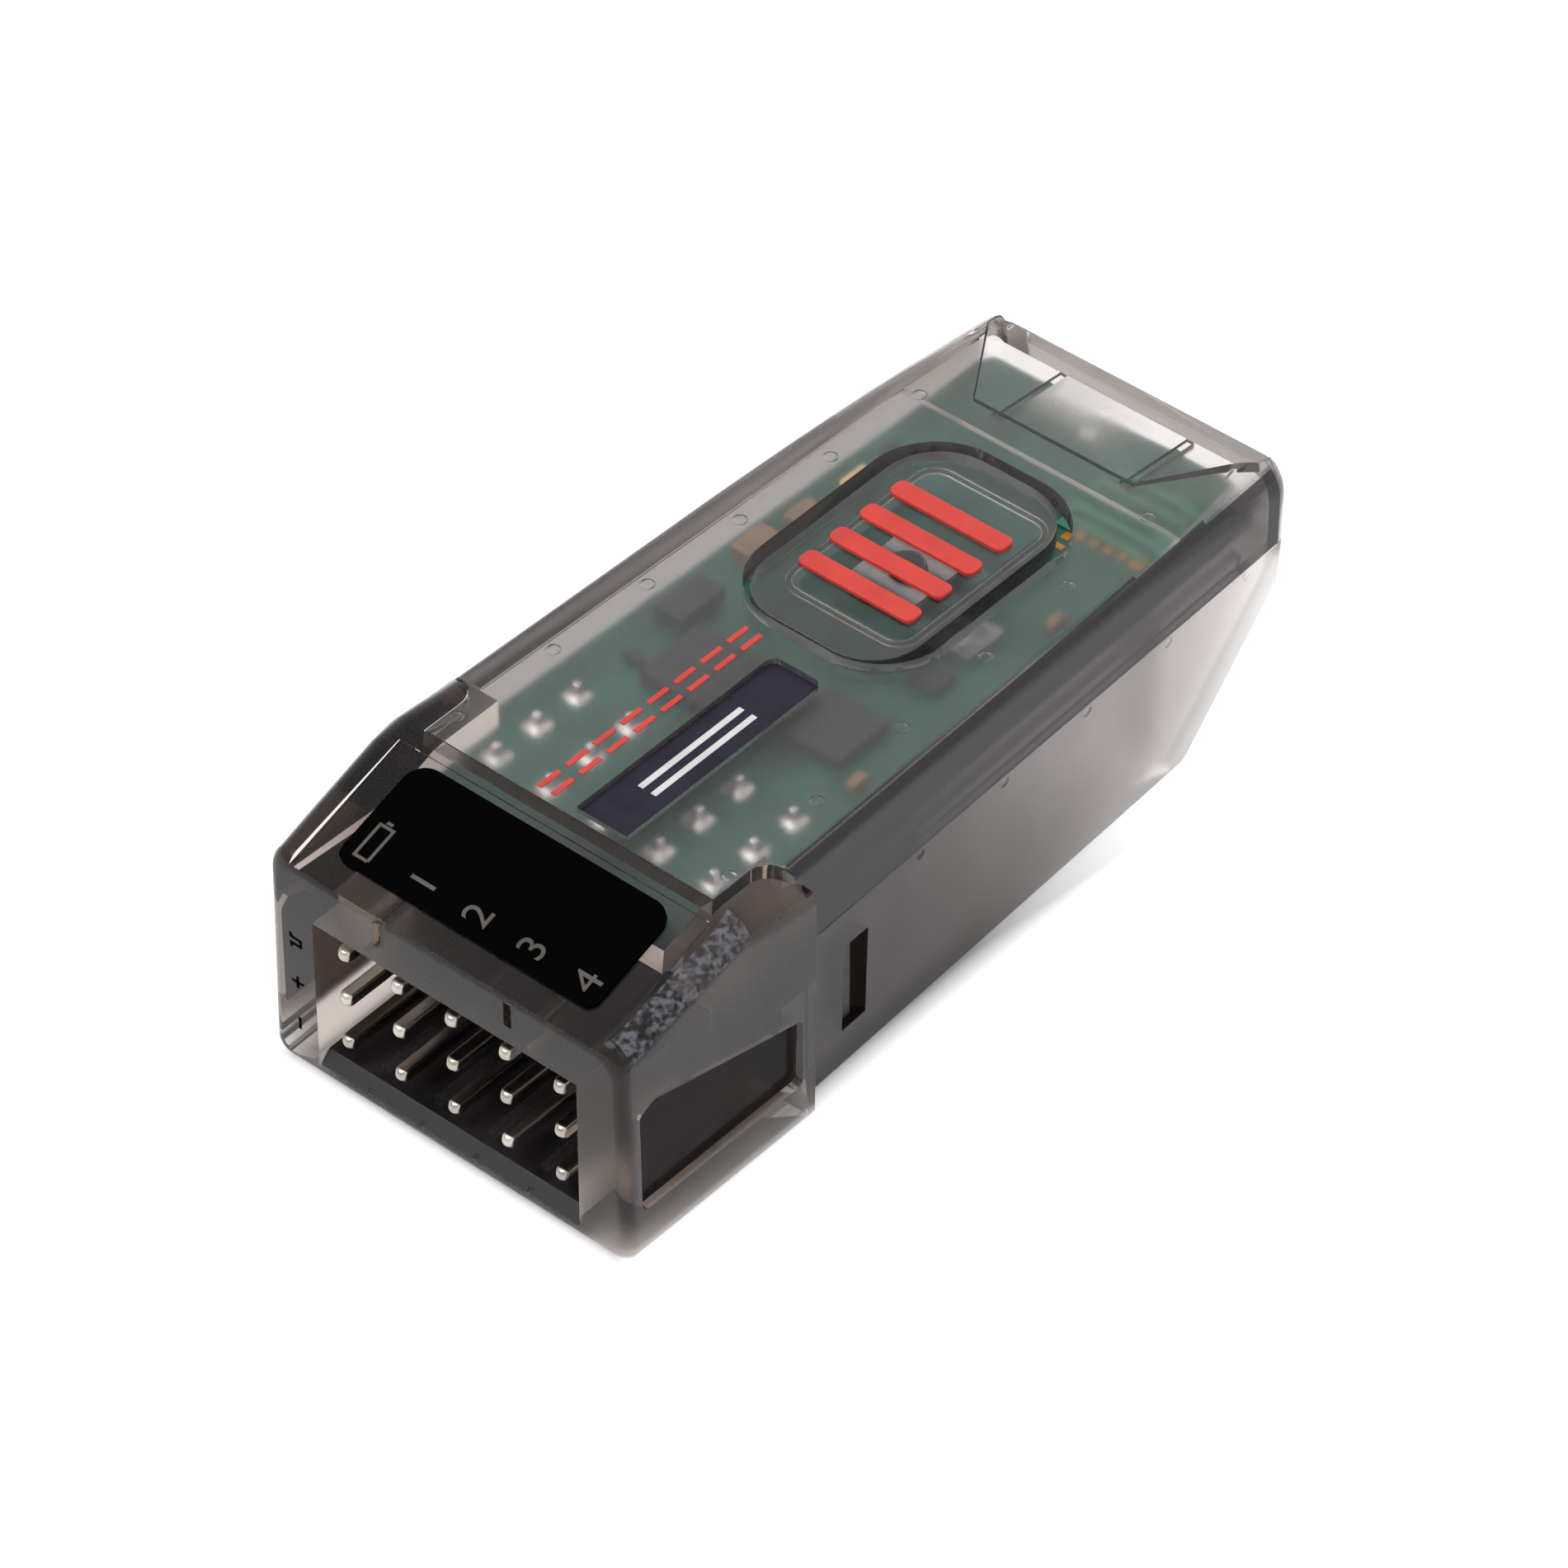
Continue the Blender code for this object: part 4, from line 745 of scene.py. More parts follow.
@dataclass(frozen=True)
class CaseForm:
    """Sizes of the case and the shapes that follow from them."""

    length: float = 46.2 * MM
    height: float = 14.15 * MM
    parting: float = 9.57 * MM
    wall: float = 1.0 * MM
    gap: float = 0.06 * MM
    front_width: float = 19.1 * MM
    rear_width: float = 17.3 * MM
    base_front_width: float = 18.8 * MM
    base_rear_width: float = 16.2 * MM
    top_radius: float = 0.6 * MM
    rear_top_radius: float = 2.2 * MM
    growth_start: float = 20.0 * MM
    growth_power: int = 3
    base_radius: float = 0.7 * MM
    inner_radius: float = 0.2 * MM
    rear_radius: float = 1.0 * MM
    slope_rise: float = 7.9 * MM
    slope_run: float = 7.2 * MM
    collar_end: float = 11.8 * MM
    top_seam: float = 7.85 * MM
    tongue_width: float = 16.06 * MM
    lobe_radius: float = 1.2 * MM
    lobe_end: float = 11.3 * MM
    steps: int = 8

    def y(self, distance: float) -> float:
        """Y of a point this far behind the front face."""
        return distance - self.length / 2

    def distance(self, place: Vector) -> float:
        """How far a point lies behind the front face."""
        return place.y + self.length / 2

    def plan(self, rows: Iterable[Spot]) -> list[Spot]:
        """Plan outline from rows of x and the distance from the front."""
        return [(x, self.y(distance)) for x, distance in rows]

    def profile(self, rows: Iterable[Spot]) -> list[Spot]:
        """Side outline from rows of the distance from the front and the height."""
        return [(self.y(distance), z) for distance, z in rows]

    def on_level(self, level: float) -> Callable[[float, float, float], Place]:
        """Function that places print on a level face, from x, distance and height."""
        return lambda x, distance, height: (x, self.y(distance), level + height)

    def share(self, distance: float) -> float:
        """Share of the way from the collar to the rear end."""
        return (distance - self.collar_end) / (self.length - self.collar_end)

    def half_width(self, distance: float) -> float:
        """Half width of the body at and above the parting line."""
        return between(self.front_width, self.rear_width, self.share(distance)) / 2

    def half_base(self, distance: float) -> float:
        """Half width of the body at its base."""
        return between(self.base_front_width, self.base_rear_width, self.share(distance)) / 2

    def edge(self, distance: float) -> float:
        """Rounding of the long top edges, which grows towards the rear.

        Args:
            distance: distance from the front.

        Returns:
            The radius.
        """
        share = (distance - self.growth_start) / (self.length - self.growth_start)
        return between(self.top_radius, self.rear_top_radius,
                       max(share, 0.0) ** self.growth_power)

    def ring(self, distance: float, inset: float) -> list[Place]:
        """Cross section of the body.

        Args:
            distance: distance of the section from the front.
            inset: how far it is moved inwards.

        Returns:
            The points of the section.
        """
        wide = self.half_width(distance) - inset
        narrow = self.half_base(distance) - inset
        top = self.height - inset
        top_radius = max(self.edge(distance) - inset, self.inner_radius)
        base_radius = max(self.base_radius - inset, self.inner_radius)
        outline = fillet([(narrow, inset, base_radius), (wide, self.parting, 0),
                          (wide, top, top_radius), (-wide, top, top_radius),
                          (-wide, self.parting, 0), (-narrow, inset, base_radius)], self.steps)
        return [(x, self.y(distance), z) for x, z in outline]

    def body(self, name: str, start: float, wall: float, end_radius: float,
             finish: Look) -> Solid:
        """Outside of the body, or its hollow when wall is more than nothing.

        Args:
            name: name of the solid.
            start: distance of its front end.
            wall: thickness that it is moved inwards by.
            end_radius: rounding of its rear end.
            finish: material of its faces.

        Returns:
            The solid, with the rear slope cut off.
        """
        end = self.length - wall
        rings = [self.ring(start, wall)]
        for step in range(11):
            rings.append(self.ring(between(self.growth_start, end - end_radius, step / 10),
                                   wall))
        for step in range(1, self.steps + 1):
            angle = math.pi / 2 * step / self.steps
            rings.append(self.ring(end - end_radius * (1 - math.sin(angle)),
                                   wall + end_radius * (1 - math.cos(angle))))
        lift = wall / Vector((self.slope_run, self.slope_rise)).normalized().x
        beyond = self.length + self.slope_run
        wedge = Solid.crosswise("slope", self.profile([
            (self.length - 2 * self.slope_run, lift - self.slope_rise),
            (beyond, lift - self.slope_rise), (beyond, lift + 2 * self.slope_rise)]),
            -self.length, self.length, finish)
        return Solid(name, rings, finish).cut(wedge)

    def band(self, start: float, end: float, low: float, high: float, finish: Look) -> Solid:
        """Region across the whole width between two distances and two heights."""
        return Solid.block("band", (-self.length, self.y(start), low),
                           (self.length, self.y(end), high), finish)

    def tongue_edge(self, side: int, half: float, lobe_end: float) -> list[Spot]:
        """Side of the cover's tongue, from the end of the lobe forwards.

        Args:
            side: -1 for the left and 1 for the right.
            half: half width of the tongue.
            lobe_end: distance of the end of the lobe.

        Returns:
            The points.
        """
        centre_x = half + self.lobe_radius
        centre_y = lobe_end - self.lobe_radius
        angles = [math.pi / 2 * step / self.steps for step in range(self.steps + 1)]
        return [(side * (centre_x - self.lobe_radius * math.sin(angle)),
                 self.y(centre_y + self.lobe_radius * math.cos(angle))) for angle in angles]


@dataclass(frozen=True)
class ButtonForm:
    """Sizes of the tongue that is the bind button, and of the slot around it."""

    start: float = 22.802 * MM
    length: float = 14.6 * MM
    width: float = 10.15 * MM
    side_gap: float = 0.72 * MM
    rear_gap: float = 0.55 * MM
    hinge_gap: float = 0.12 * MM
    front_radius: float = 3.4 * MM
    rear_radius: float = 3.6 * MM
    bar_count: int = 4
    bar_pitch: float = 2.05 * MM
    bar_length: float = 6.4 * MM
    bar_width: float = 1.05 * MM
    bar_height: float = 0.22 * MM
    bar_root: float = 0.05 * MM
    bar_edge: float = 0.08 * MM
    bar_centre: float = 29.852 * MM
    frame_half: float = 3.6 * MM
    frame_start: float = 25.3 * MM
    frame_end: float = 36.0 * MM
    frame_corner: float = 1.2 * MM
    frame_width: float = 0.28 * MM
    frame_depth: float = 0.25 * MM

    def outline(self, case: CaseForm, side_gap: float, rear_gap: float,
                front_gap: float) -> list[Spot]:
        """Plan of the slot, moved inwards for the tongue.

        Args:
            case: sizes of the case.
            side_gap: how far the sides are moved.
            rear_gap: how far the rear is moved.
            front_gap: how far the hinge is moved.

        Returns:
            The points of the plan.
        """
        half = self.width / 2 - side_gap
        return rounded_box(-half, half, case.y(self.start) + front_gap,
                           case.y(self.start + self.length) - rear_gap,
                           self.front_radius - side_gap, self.rear_radius - rear_gap, 20)


@dataclass(frozen=True)
class CaseShells:
    """Top cover and lower case, which meet at the parting line."""

    case: CaseForm
    button: ButtonForm
    edge: float = 0.1 * MM
    dimple_radius: float = 0.36 * MM
    dimple_depth: float = 0.14 * MM
    dimple_pitch: float = 5.825 * MM
    top_dimples: int = 6
    top_dimple_start: float = 9.42 * MM
    top_dimple_margin: float = 1.97 * MM
    top_dimple_taper: float = 0.039
    side_dimples: int = 5
    side_dimple_start: float = 19.75 * MM
    side_dimple_drop: float = 0.42 * MM
    side_dimple_radius: float = 0.28 * MM
    plate_start: float = 8.45 * MM
    plate_length: float = 12.6 * MM
    plate_width: float = 2.8 * MM
    plate_recess: float = 0.42 * MM
    plate_front_corner: float = 0.08 * MM
    plate_corner: float = 0.5 * MM
    scoop_start: float = 39.95 * MM
    scoop_flare_end: float = 44.8 * MM
    scoop_front_width: float = 9.05 * MM
    scoop_rear_width: float = 15.3 * MM
    scoop_front_depth: float = 0.4 * MM
    scoop_rear_depth: float = 1.0 * MM
    rib_spacing: float = 7.2 * MM
    rib_width: float = 0.4 * MM
    rib_height: float = 0.35 * MM
    lip_start: float = 18.5 * MM
    lip_end: float = 43.0 * MM
    lip_thickness: float = 0.5 * MM
    lip_depth: float = 0.7 * MM
    lip_root: float = 0.5 * MM
    lip_clearance: float = 0.1 * MM
    window_start: float = 14.65 * MM
    window_length: float = 1.6 * MM
    window_floor: float = 2.5 * MM
    window_top: float = 7.45 * MM
    post_side: float = 1.3 * MM
    post_inset: float = 1.1 * MM
    post_places: tuple[float, float] = (19.5 * MM, 36.8 * MM)
    post_top: float = 10.72 * MM

    def floor(self, distance: float) -> float:
        """Height of the sloped floor of the scoop."""
        share = (distance - self.scoop_start) / (self.case.length - self.scoop_start)
        return self.case.height - between(self.scoop_front_depth, self.scoop_rear_depth, share)

    def dimple(self, x: float, y: float, finish: Look) -> Solid:
        """Shallow round pit in the top face.

        Args:
            x: X of its middle.
            y: Y of its middle.
            finish: how it is finished.

        Returns:
            Cutter of the pit.
        """
        rings = []
        for step in range(6):
            angle = math.pi / 2 * step / 6
            rings.append([(u, v, self.case.height - self.dimple_depth * math.cos(angle))
                          for u, v in circle(x, y, self.dimple_radius
                                             * (0.15 + 0.85 * math.sin(angle)), 20)])
        rings.append([(u, v, self.case.height + self.dimple_depth)
                      for u, v in circle(x, y, self.dimple_radius, 20)])
        return Solid("dimple", rings, finish)

    def scoop(self, finish: Look) -> Solid:
        """Cutter of the scoop.

        Args:
            finish: how it is finished.

        Returns:
            The cutter.
        """
        case = self.case
        front = self.scoop_front_width / 2
        rear = self.scoop_rear_width / 2
        beyond = case.length + case.wall
        plan = [(-front, self.scoop_start), (front, self.scoop_start),
                (rear, self.scoop_flare_end), (rear, beyond), (-rear, beyond),
                (-rear, self.scoop_flare_end)]
        return Solid("scoop", [[(x, case.y(d), self.floor(d)) for x, d in plan],
                               [(x, case.y(d), case.height + case.wall) for x, d in plan]],
                     finish)

    def top_cover(self) -> Solid:
        """Build the top cover."""
        case = self.case
        front = case.top_seam + case.gap
        cover = case.body("cover_shell", front, 0.0, case.rear_radius, Surface.POLISHED)
        hollow = case.body("hollow", front - case.wall, case.wall, case.rear_radius / 2,
                           Surface.INSIDE)
        start = self.scoop_start - case.wall
        backing = case.profile([(start, case.height), (start, self.floor(start) - case.wall),
                                (case.length, self.floor(case.length) - case.wall),
                                (case.length, case.height)])
        hollow.cut(Solid.crosswise("backing", backing, -case.length, case.length,
                                   Surface.INSIDE))
        cover.cut(hollow, case.band(0.0, case.length + case.wall, -case.wall,
                                    case.parting + case.gap / 2, Surface.POLISHED))
        cover.cut(case.band(0.0, case.collar_end + case.gap, -case.wall,
                            case.height - case.wall, Surface.INSIDE))
        half_tongue = (case.tongue_width - case.gap) / 2
        lobe_end = case.lobe_end + case.gap
        for side in SIDES:
            plan = case.plan([(side * case.length, 0.0), (side * case.length, lobe_end)])
            plan += case.tongue_edge(side, half_tongue, lobe_end)
            plan.append((side * half_tongue, case.y(0.0)))
            cover.cut(Solid.upright("beside", plan, 0.0, case.height + case.wall,
                                    Surface.POLISHED))
        cover.cut(Solid.upright("slot", self.button.outline(case, 0.0, 0.0, 0.0),
                                case.height - 2 * case.wall, case.height + case.wall,
                                Surface.POLISHED))
        recess = rounded_box(0.0, self.plate_width, case.y(self.plate_start),
                             case.y(self.plate_start + self.plate_length),
                             self.plate_front_corner, self.plate_corner)
        cover.cut(Solid.upright("recess", recess, case.height - self.plate_recess,
                                case.height + case.wall, Surface.POLISHED))
        for row in range(self.top_dimples):
            reach = row * self.dimple_pitch
            x = case.front_width / 2 - self.top_dimple_margin - self.top_dimple_taper * reach
            for side in SIDES:
                cover.cut(self.dimple(side * x, case.y(self.top_dimple_start + reach),
                                      Surface.POLISHED))
        cover.cut(self.scoop(Surface.POLISHED))
        for side in SIDES:
            cover.join(self.scoop_rib(side, Surface.INSIDE))
            for part in self.lip(side, Surface.INSIDE):
                cover.join(part)
        return cover

    def scoop_rib(self, side: int, finish: Look) -> Solid:
        """Rib under the floor of the scoop.

        Args:
            side: -1 for the left and 1 for the right.
            finish: how it is finished.

        Returns:
            The rib.
        """
        case = self.case
        ends = (self.scoop_start + self.rib_width, case.length - case.wall / 2)
        outline = case.profile([(d, self.floor(d) - case.wall / 2) for d in ends]
                               + [(d, self.floor(d) - case.wall - self.rib_height)
                                  for d in reversed(ends)])
        centre = side * self.rib_spacing / 2
        return Solid.crosswise("rib", outline, centre - self.rib_width / 2,
                               centre + self.rib_width / 2, finish)

    def lip(self, side: int, finish: Look) -> list[Solid]:
        """Lip and its root along one side of the top cover.

        Args:
            side: -1 for the left and 1 for the right.
            finish: how it is finished.

        Returns:
            The two parts.
        """
        case = self.case
        parts = []
        root_floor = case.parting + case.gap
        for reach, low in ((-self.lip_clearance, case.parting - self.lip_depth),
                           (case.wall / 4, root_floor)):
            ends = [(case.half_width(d) - case.wall, d) for d in (self.lip_start, self.lip_end)]
            outer = [(side * (inner + reach), d) for inner, d in ends]
            inner = [(side * (inner - self.lip_clearance - self.lip_thickness), d)
                     for inner, d in reversed(ends)]
            parts.append(Solid.upright("lip", case.plan(outer + inner), low,
                                       root_floor + self.lip_root, finish))
        return parts

    def lower_case(self) -> Solid:
        """Build the lower case."""
        case = self.case
        start = case.collar_end + case.gap
        shell = case.body("lower_shell", start, 0.0, case.rear_radius, Surface.FROSTED)
        shell.cut(case.body("hollow", start - case.wall, case.wall, case.rear_radius / 2,
                            Surface.FROSTED),
                  case.band(0.0, case.length + case.wall, case.parting - case.gap / 2,
                            case.height + case.wall, Surface.POLISHED),
                  case.band(self.window_start, self.window_start + self.window_length,
                            self.window_floor, self.window_top, Surface.POLISHED))
        height = case.parting - self.side_dimple_drop
        for row in range(self.side_dimples):
            distance = self.side_dimple_start + row * self.dimple_pitch
            for side in SIDES:
                surface = side * case.half_width(distance)
                ends = sorted((surface - self.dimple_depth, surface + self.dimple_depth))
                shell.cut(Solid.crosswise(
                    "dimple", circle(case.y(distance), height, self.side_dimple_radius, 20),
                    ends[0], ends[1], Surface.POLISHED))
        for place in self.post_places:
            reach = case.half_width(place) - case.wall - self.post_inset
            for side in SIDES:
                inner, outer = sorted((side * reach, side * (reach - self.post_side)))
                shell.join(Solid.block("post", (inner, case.y(place), case.wall / 2),
                                       (outer, case.y(place + self.post_side),
                                        self.post_top), Surface.FROSTED))
        return shell

    def on_flank(self, centre: Vector, normal: Vector) -> bool:
        """True for the outside of the cover's right side wall, which gets painted shade.

        Args:
            centre: middle of the face.
            normal: way that it looks.

        Returns:
            Whether it is.
        """
        distance = self.case.distance(centre)
        outside = self.case.half_width(distance) - self.case.wall / 2
        return (centre.x > outside and normal.x > 0.35
                and distance < self.case.length - self.case.wall)

    def on_left_flank(self, centre: Vector, normal: Vector) -> bool:
        """True for the outside of the cover's left side wall, which gets a lighter painted
        shade.
        """
        return self.on_flank(Vector((-centre.x, centre.y, centre.z)),
                             Vector((-normal.x, normal.y, normal.z)))

    def in_scoop(self, centre: Vector, normal: Vector) -> bool:
        """True for the upright walls of the scoop and of the two ribs under it.

        Args:
            centre: middle of the face.
            normal: way that it looks.

        Returns:
            Whether it is.
        """
        distance = self.case.distance(centre)
        start = self.scoop_start - self.rib_width
        if not start < distance < self.case.length - self.case.wall:
            return False
        rib = abs(abs(centre.x) - self.rib_spacing / 2) < self.rib_width
        inside = abs(centre.x) < self.case.half_width(distance) - self.case.wall / 2
        above = centre.z > self.floor(max(distance, self.scoop_start))
        return rib and abs(normal.x) > 0.8 or inside and above and abs(normal.z) < STEEP

    def in_window(self, centre: Vector, normal: Vector) -> bool:
        """True for the faces across the wall in the two side windows.

        Args:
            centre: middle of the face.
            normal: way that it looks.

        Returns:
            Whether it is.
        """
        distance = self.case.distance(centre)
        margin = self.case.gap
        return (abs(centre.x) > self.case.half_width(distance) - 2 * self.case.wall
                and abs(normal.x) < STEEP
                and -margin < distance - self.window_start < self.window_length + margin
                and self.window_floor - margin < centre.z < self.window_top + margin)

    def in_top_plate(self, centre: Vector, normal: Vector) -> bool:
        """True for the upright walls of the slot, the recess, the scoop and the seam.

        Args:
            centre: middle of the face.
            normal: way that it looks.

        Returns:
            Whether it is.
        """
        distance = self.case.distance(centre)
        inside = self.case.half_width(distance) - 1.5 * self.case.wall
        return (abs(normal.z) < STEEP and centre.z > self.case.height - self.case.wall
                and abs(centre.x) < inside and distance < self.case.length - self.case.wall)

    def build(self, looks: Finishes) -> None:
        """Build both shells and dress them.

        Args:
            looks: finishes of the receiver.
        """
        cover = self.top_cover().soften(self.edge)
        # Painted shade on the upright walls of the top plate, on both flanks of the cover and in
        # the scoop
        cover.paint(Surface.EDGE, self.in_top_plate).paint(Surface.SHADED_FLANK, self.on_flank)
        cover.paint(Surface.GREY, self.on_left_flank).paint(Surface.RECESS, self.in_scoop)
        cover.mould(looks.smoke)
        wear(cover, "case", "smoke_case", "top_cover")
        # Painted shade on the jambs of the side windows
        shell = self.lower_case().soften(self.edge).paint(Surface.RECESS, self.in_window)
        shell.mould(looks.base_smoke)
        wear(shell, "case", "smoke_case", "lower_case")


@dataclass(frozen=True)
class PortForm:
    """Places of the ports and their contacts."""

    count: int = 5
    pitch: float = 3.03 * MM
    rows: int = 3
    row_pitch: float = 2.54 * MM
    bottom: float = 2.6 * MM
    plug: float = 2.7 * MM
    margin: float = 1.31 * MM

    def x(self, port: int) -> float:
        """X of a port, counted from 0."""
        return (port - (self.count - 1) / 2) * self.pitch

    def between(self, gap: int) -> float:
        """X of the middle between a port and the next one."""
        return (self.x(gap) + self.x(gap + 1)) / 2

    @property
    def half(self) -> float:
        """Half width of the opening."""
        return (self.pitch * (self.count - 1) + self.plug) / 2

    @property
    def floor(self) -> float:
        """Floor of the opening."""
        return self.bottom - self.margin

    @property
    def ceiling(self) -> float:
        """Ceiling of the opening."""
        return self.bottom + self.row_pitch * (self.rows - 1) + self.margin


@dataclass(frozen=True)
class NoseShroud:
    """Nose with the opening for the plugs, the label panel, the collar and the arms."""

    case: CaseForm
    ports: PortForm
    edge: float = 0.09 * MM
    shade_sheet_edge: float = 0.04 * MM
    arm_edge: float = 0.06 * MM
    front_width: float = 19.8 * MM
    shoulder_width: float = 20.6 * MM
    base_front_width: float = 20.3 * MM
    base_rear_width: float = 20.5 * MM
    front_height: float = 11.55 * MM
    top_radius: float = 1.1 * MM
    collar_radius: float = 1.75 * MM
    growth_start: float = 6.5 * MM
    growth_end: float = 10.3 * MM
    base_radius: float = 0.7 * MM
    front_radius: float = 0.6 * MM
    panel_depth: float = 0.3 * MM
    panel_seam_drop: float = 0.05 * MM
    panel_width: float = 17.3 * MM
    panel_end: float = 7.0 * MM
    pocket_depth: float = 0.45 * MM
    pocket_reach: float = 1.1 * MM
    pocket_start: float = 0.95 * MM
    pocket_end: float = 11.0 * MM
    pocket_floor: float = 2.65 * MM
    pocket_front_top: float = 8.5 * MM
    pocket_rear_top: float = 6.4 * MM
    pocket_corner: float = 0.3 * MM
    pocket_top_corner: float = 0.5 * MM
    notch_spacing: float = 7.3 * MM
    notch_width: float = 0.42 * MM
    notch_depth: float = 0.35 * MM
    notch_low: float = 9.95 * MM
    notch_high: float = 11.25 * MM
    rib_width: float = 0.45 * MM
    rib_height: float = 0.35 * MM
    rib_root: float = 0.1 * MM
    sill: float = 0.55 * MM
    header_front: float = 7.0 * MM
    clearance: float = 0.06 * MM
    board_half: float = 7.43 * MM
    board_bottom: float = 10.72 * MM
    board_front: float = 5.57 * MM
    arm_thickness: float = 0.8 * MM
    arm_clearance: float = 0.08 * MM
    arm_root: float = 10.2 * MM
    arm_end: float = 17.05 * MM
    arm_low: float = 2.58 * MM
    arm_high: float = 7.37 * MM
    hook_start: float = 14.73 * MM
    hook_end: float = 16.17 * MM
    hook_reach: float = 0.9 * MM
    shade_sheet_height: float = 0.1 * MM
    nick: float = 0.22 * MM
    craze_margin: float = 0.01 * MM
    craze_end: float = 7.6 * MM

    def top(self, distance: float) -> float:
        """Height of the top edges, which rise from the front to the seam."""
        share = min(distance / self.case.top_seam, 1.0)
        return between(self.front_height + self.panel_depth, self.case.height, share)

    def panel(self, distance: float) -> float:
        """Height of the sunk panel that carries the port label."""
        return between(self.front_height, self.case.height - self.panel_seam_drop,
                       distance / self.case.top_seam)

    def half_base(self, distance: float) -> float:
        """Half width of the nose at its base."""
        return between(self.base_front_width, self.base_rear_width,
                       distance / self.case.collar_end) / 2

    def ring(self, distance: float, inset: float) -> list[Place]:
        """Cross section of the nose.

        Args:
            distance: distance of the section from the front.
            inset: how far it is moved inwards.

        Returns:
            The points of the section.
        """
        base = self.half_base(distance) - inset
        shoulder = between(self.front_width, self.shoulder_width,
                           distance / self.case.collar_end) / 2 - inset
        top = self.top(distance) - inset
        growth = (distance - self.growth_start) / (self.growth_end - self.growth_start)
        radius = between(self.top_radius, self.collar_radius, min(max(growth, 0.0), 1.0))
        outline = fillet([(base, inset, self.base_radius), (shoulder, top, radius),
                          (-shoulder, top, radius), (-base, inset, self.base_radius)], 8)
        return [(x, self.case.y(distance), z) for x, z in outline]

    def pocket(self, side: int, finish: Look) -> Solid:
        """Cutter of the shallow pocket in one side wall.

        Args:
            side: -1 for the left and 1 for the right.
            finish: how it is finished.

        Returns:
            The cutter.
        """
        front, top = self.pocket_start, self.pocket_front_top
        corners = fillet([(front, self.pocket_floor, self.pocket_corner),
                          (self.pocket_end, self.pocket_floor, self.pocket_corner),
                          (self.pocket_end, self.pocket_rear_top, self.pocket_top_corner),
                          (front + 2 * self.pocket_depth, top, self.pocket_top_corner),
                          (front, top - self.pocket_depth, self.pocket_corner)], 5)
        rings = [[(side * (self.half_base(d) + reach), self.case.y(d), z) for d, z in corners]
                 for reach in (-self.pocket_depth, self.pocket_reach)]
        return Solid("pocket", rings, finish)

    def arms(self, side: int, finish: Look) -> list[Solid]:
        """Latch arm and its hook on one side.

        Args:
            side: -1 for the left and 1 for the right.
            finish: material of both.

        Returns:
            The arm and the hook.
        """
        case = self.case
        narrow = case.half_base(self.arm_end) - case.wall - 2 * self.arm_clearance
        foot = self.base_rear_width / 2 - case.wall
        foot_end = case.collar_end - self.arm_clearance
        plan = [(foot, self.arm_root), (foot, foot_end), (narrow, foot_end),
                (narrow, self.arm_end), (narrow - self.arm_thickness, self.arm_end),
                (narrow - self.arm_thickness, self.arm_root)]
        tip = narrow + self.hook_reach
        inner = narrow - self.arm_thickness / 2
        hook = [(inner, self.hook_start), (tip, self.hook_start),
                (tip, self.hook_start + self.hook_reach), (narrow, self.hook_end),
                (inner, self.hook_end)]
        return [Solid.upright("arm", [(side * x, case.y(d)) for x, d in shape],
                              self.arm_low, self.arm_high, finish) for shape in (plan, hook)]

    def shroud(self) -> Solid:
        """Build the nose."""
        case = self.case
        ports = self.ports
        rings = []
        for step in range(9):
            angle = math.pi / 2 * step / 8
            rings.insert(0, self.ring(self.front_radius * (1 - math.sin(angle)),
                                      self.front_radius * (1 - math.cos(angle))))
        rings += [self.ring(distance, 0.0) for distance in (
            self.growth_start, case.top_seam, between(case.top_seam, self.growth_end, 0.5),
            self.growth_end, case.collar_end)]
        nose = Solid("nose_shell", rings, Surface.POLISHED)
        nose.cut(Solid.block("tunnel", (-ports.half, case.y(-case.wall), ports.floor),
                             (ports.half, case.y(self.header_front + self.clearance),
                              ports.ceiling), Surface.INSIDE))
        sill = [(-self.sill, ports.floor - 2 * self.sill),
                (self.sill + self.clearance, ports.floor + self.clearance),
                (-self.sill, ports.floor + self.sill)]
        nose.cut(Solid.crosswise("sill", case.profile(sill), -ports.half, ports.half,
                                 Surface.POLISHED))
        beyond = case.collar_end + case.wall
        ceiling = case.height - case.wall
        start = self.header_front - self.clearance
        room = [(start, ports.floor), (beyond, ports.floor), (beyond, ceiling),
                (case.top_seam, ceiling),
                (self.board_front, self.panel(self.board_front) - case.wall),
                (self.board_front, self.board_bottom), (start, self.board_bottom)]
        nose.cut(Solid.crosswise("room", case.profile(room), -self.board_half,
                                 self.board_half, Surface.INSIDE))
        half = case.tongue_width / 2
        notch = case.plan([(-half, case.top_seam), (half, case.top_seam)])
        notch += case.tongue_edge(1, half, case.lobe_end)[::-1]
        notch += case.plan([(case.length, case.lobe_end), (case.length, beyond),
                            (-case.length, beyond), (-case.length, case.lobe_end)])
        notch += case.tongue_edge(-1, half, case.lobe_end)
        nose.cut(Solid.upright("notch", notch, ceiling - case.gap,
                               case.height + 2 * case.wall, Surface.POLISHED))
        above = case.height + 2 * case.wall
        panel = [(-case.wall, self.panel(-case.wall)),
                 (self.panel_end, self.panel(self.panel_end)),
                 (self.panel_end, above), (-case.wall, above)]
        nose.cut(Solid.crosswise("panel", case.profile(panel), -self.panel_width / 2,
                                 self.panel_width / 2, Surface.POLISHED))
        for side in SIDES:
            nose.cut(self.pocket(side, Surface.POLISHED))
            centre = side * self.notch_spacing / 2
            nose.cut(Solid.block("notch", (centre - self.notch_width / 2, case.y(-case.wall),
                                           self.notch_low),
                                 (centre + self.notch_width / 2, case.y(self.notch_depth),
                                  self.notch_high), Surface.POLISHED))
        for gap in range(ports.count - 1):
            centre = ports.between(gap)
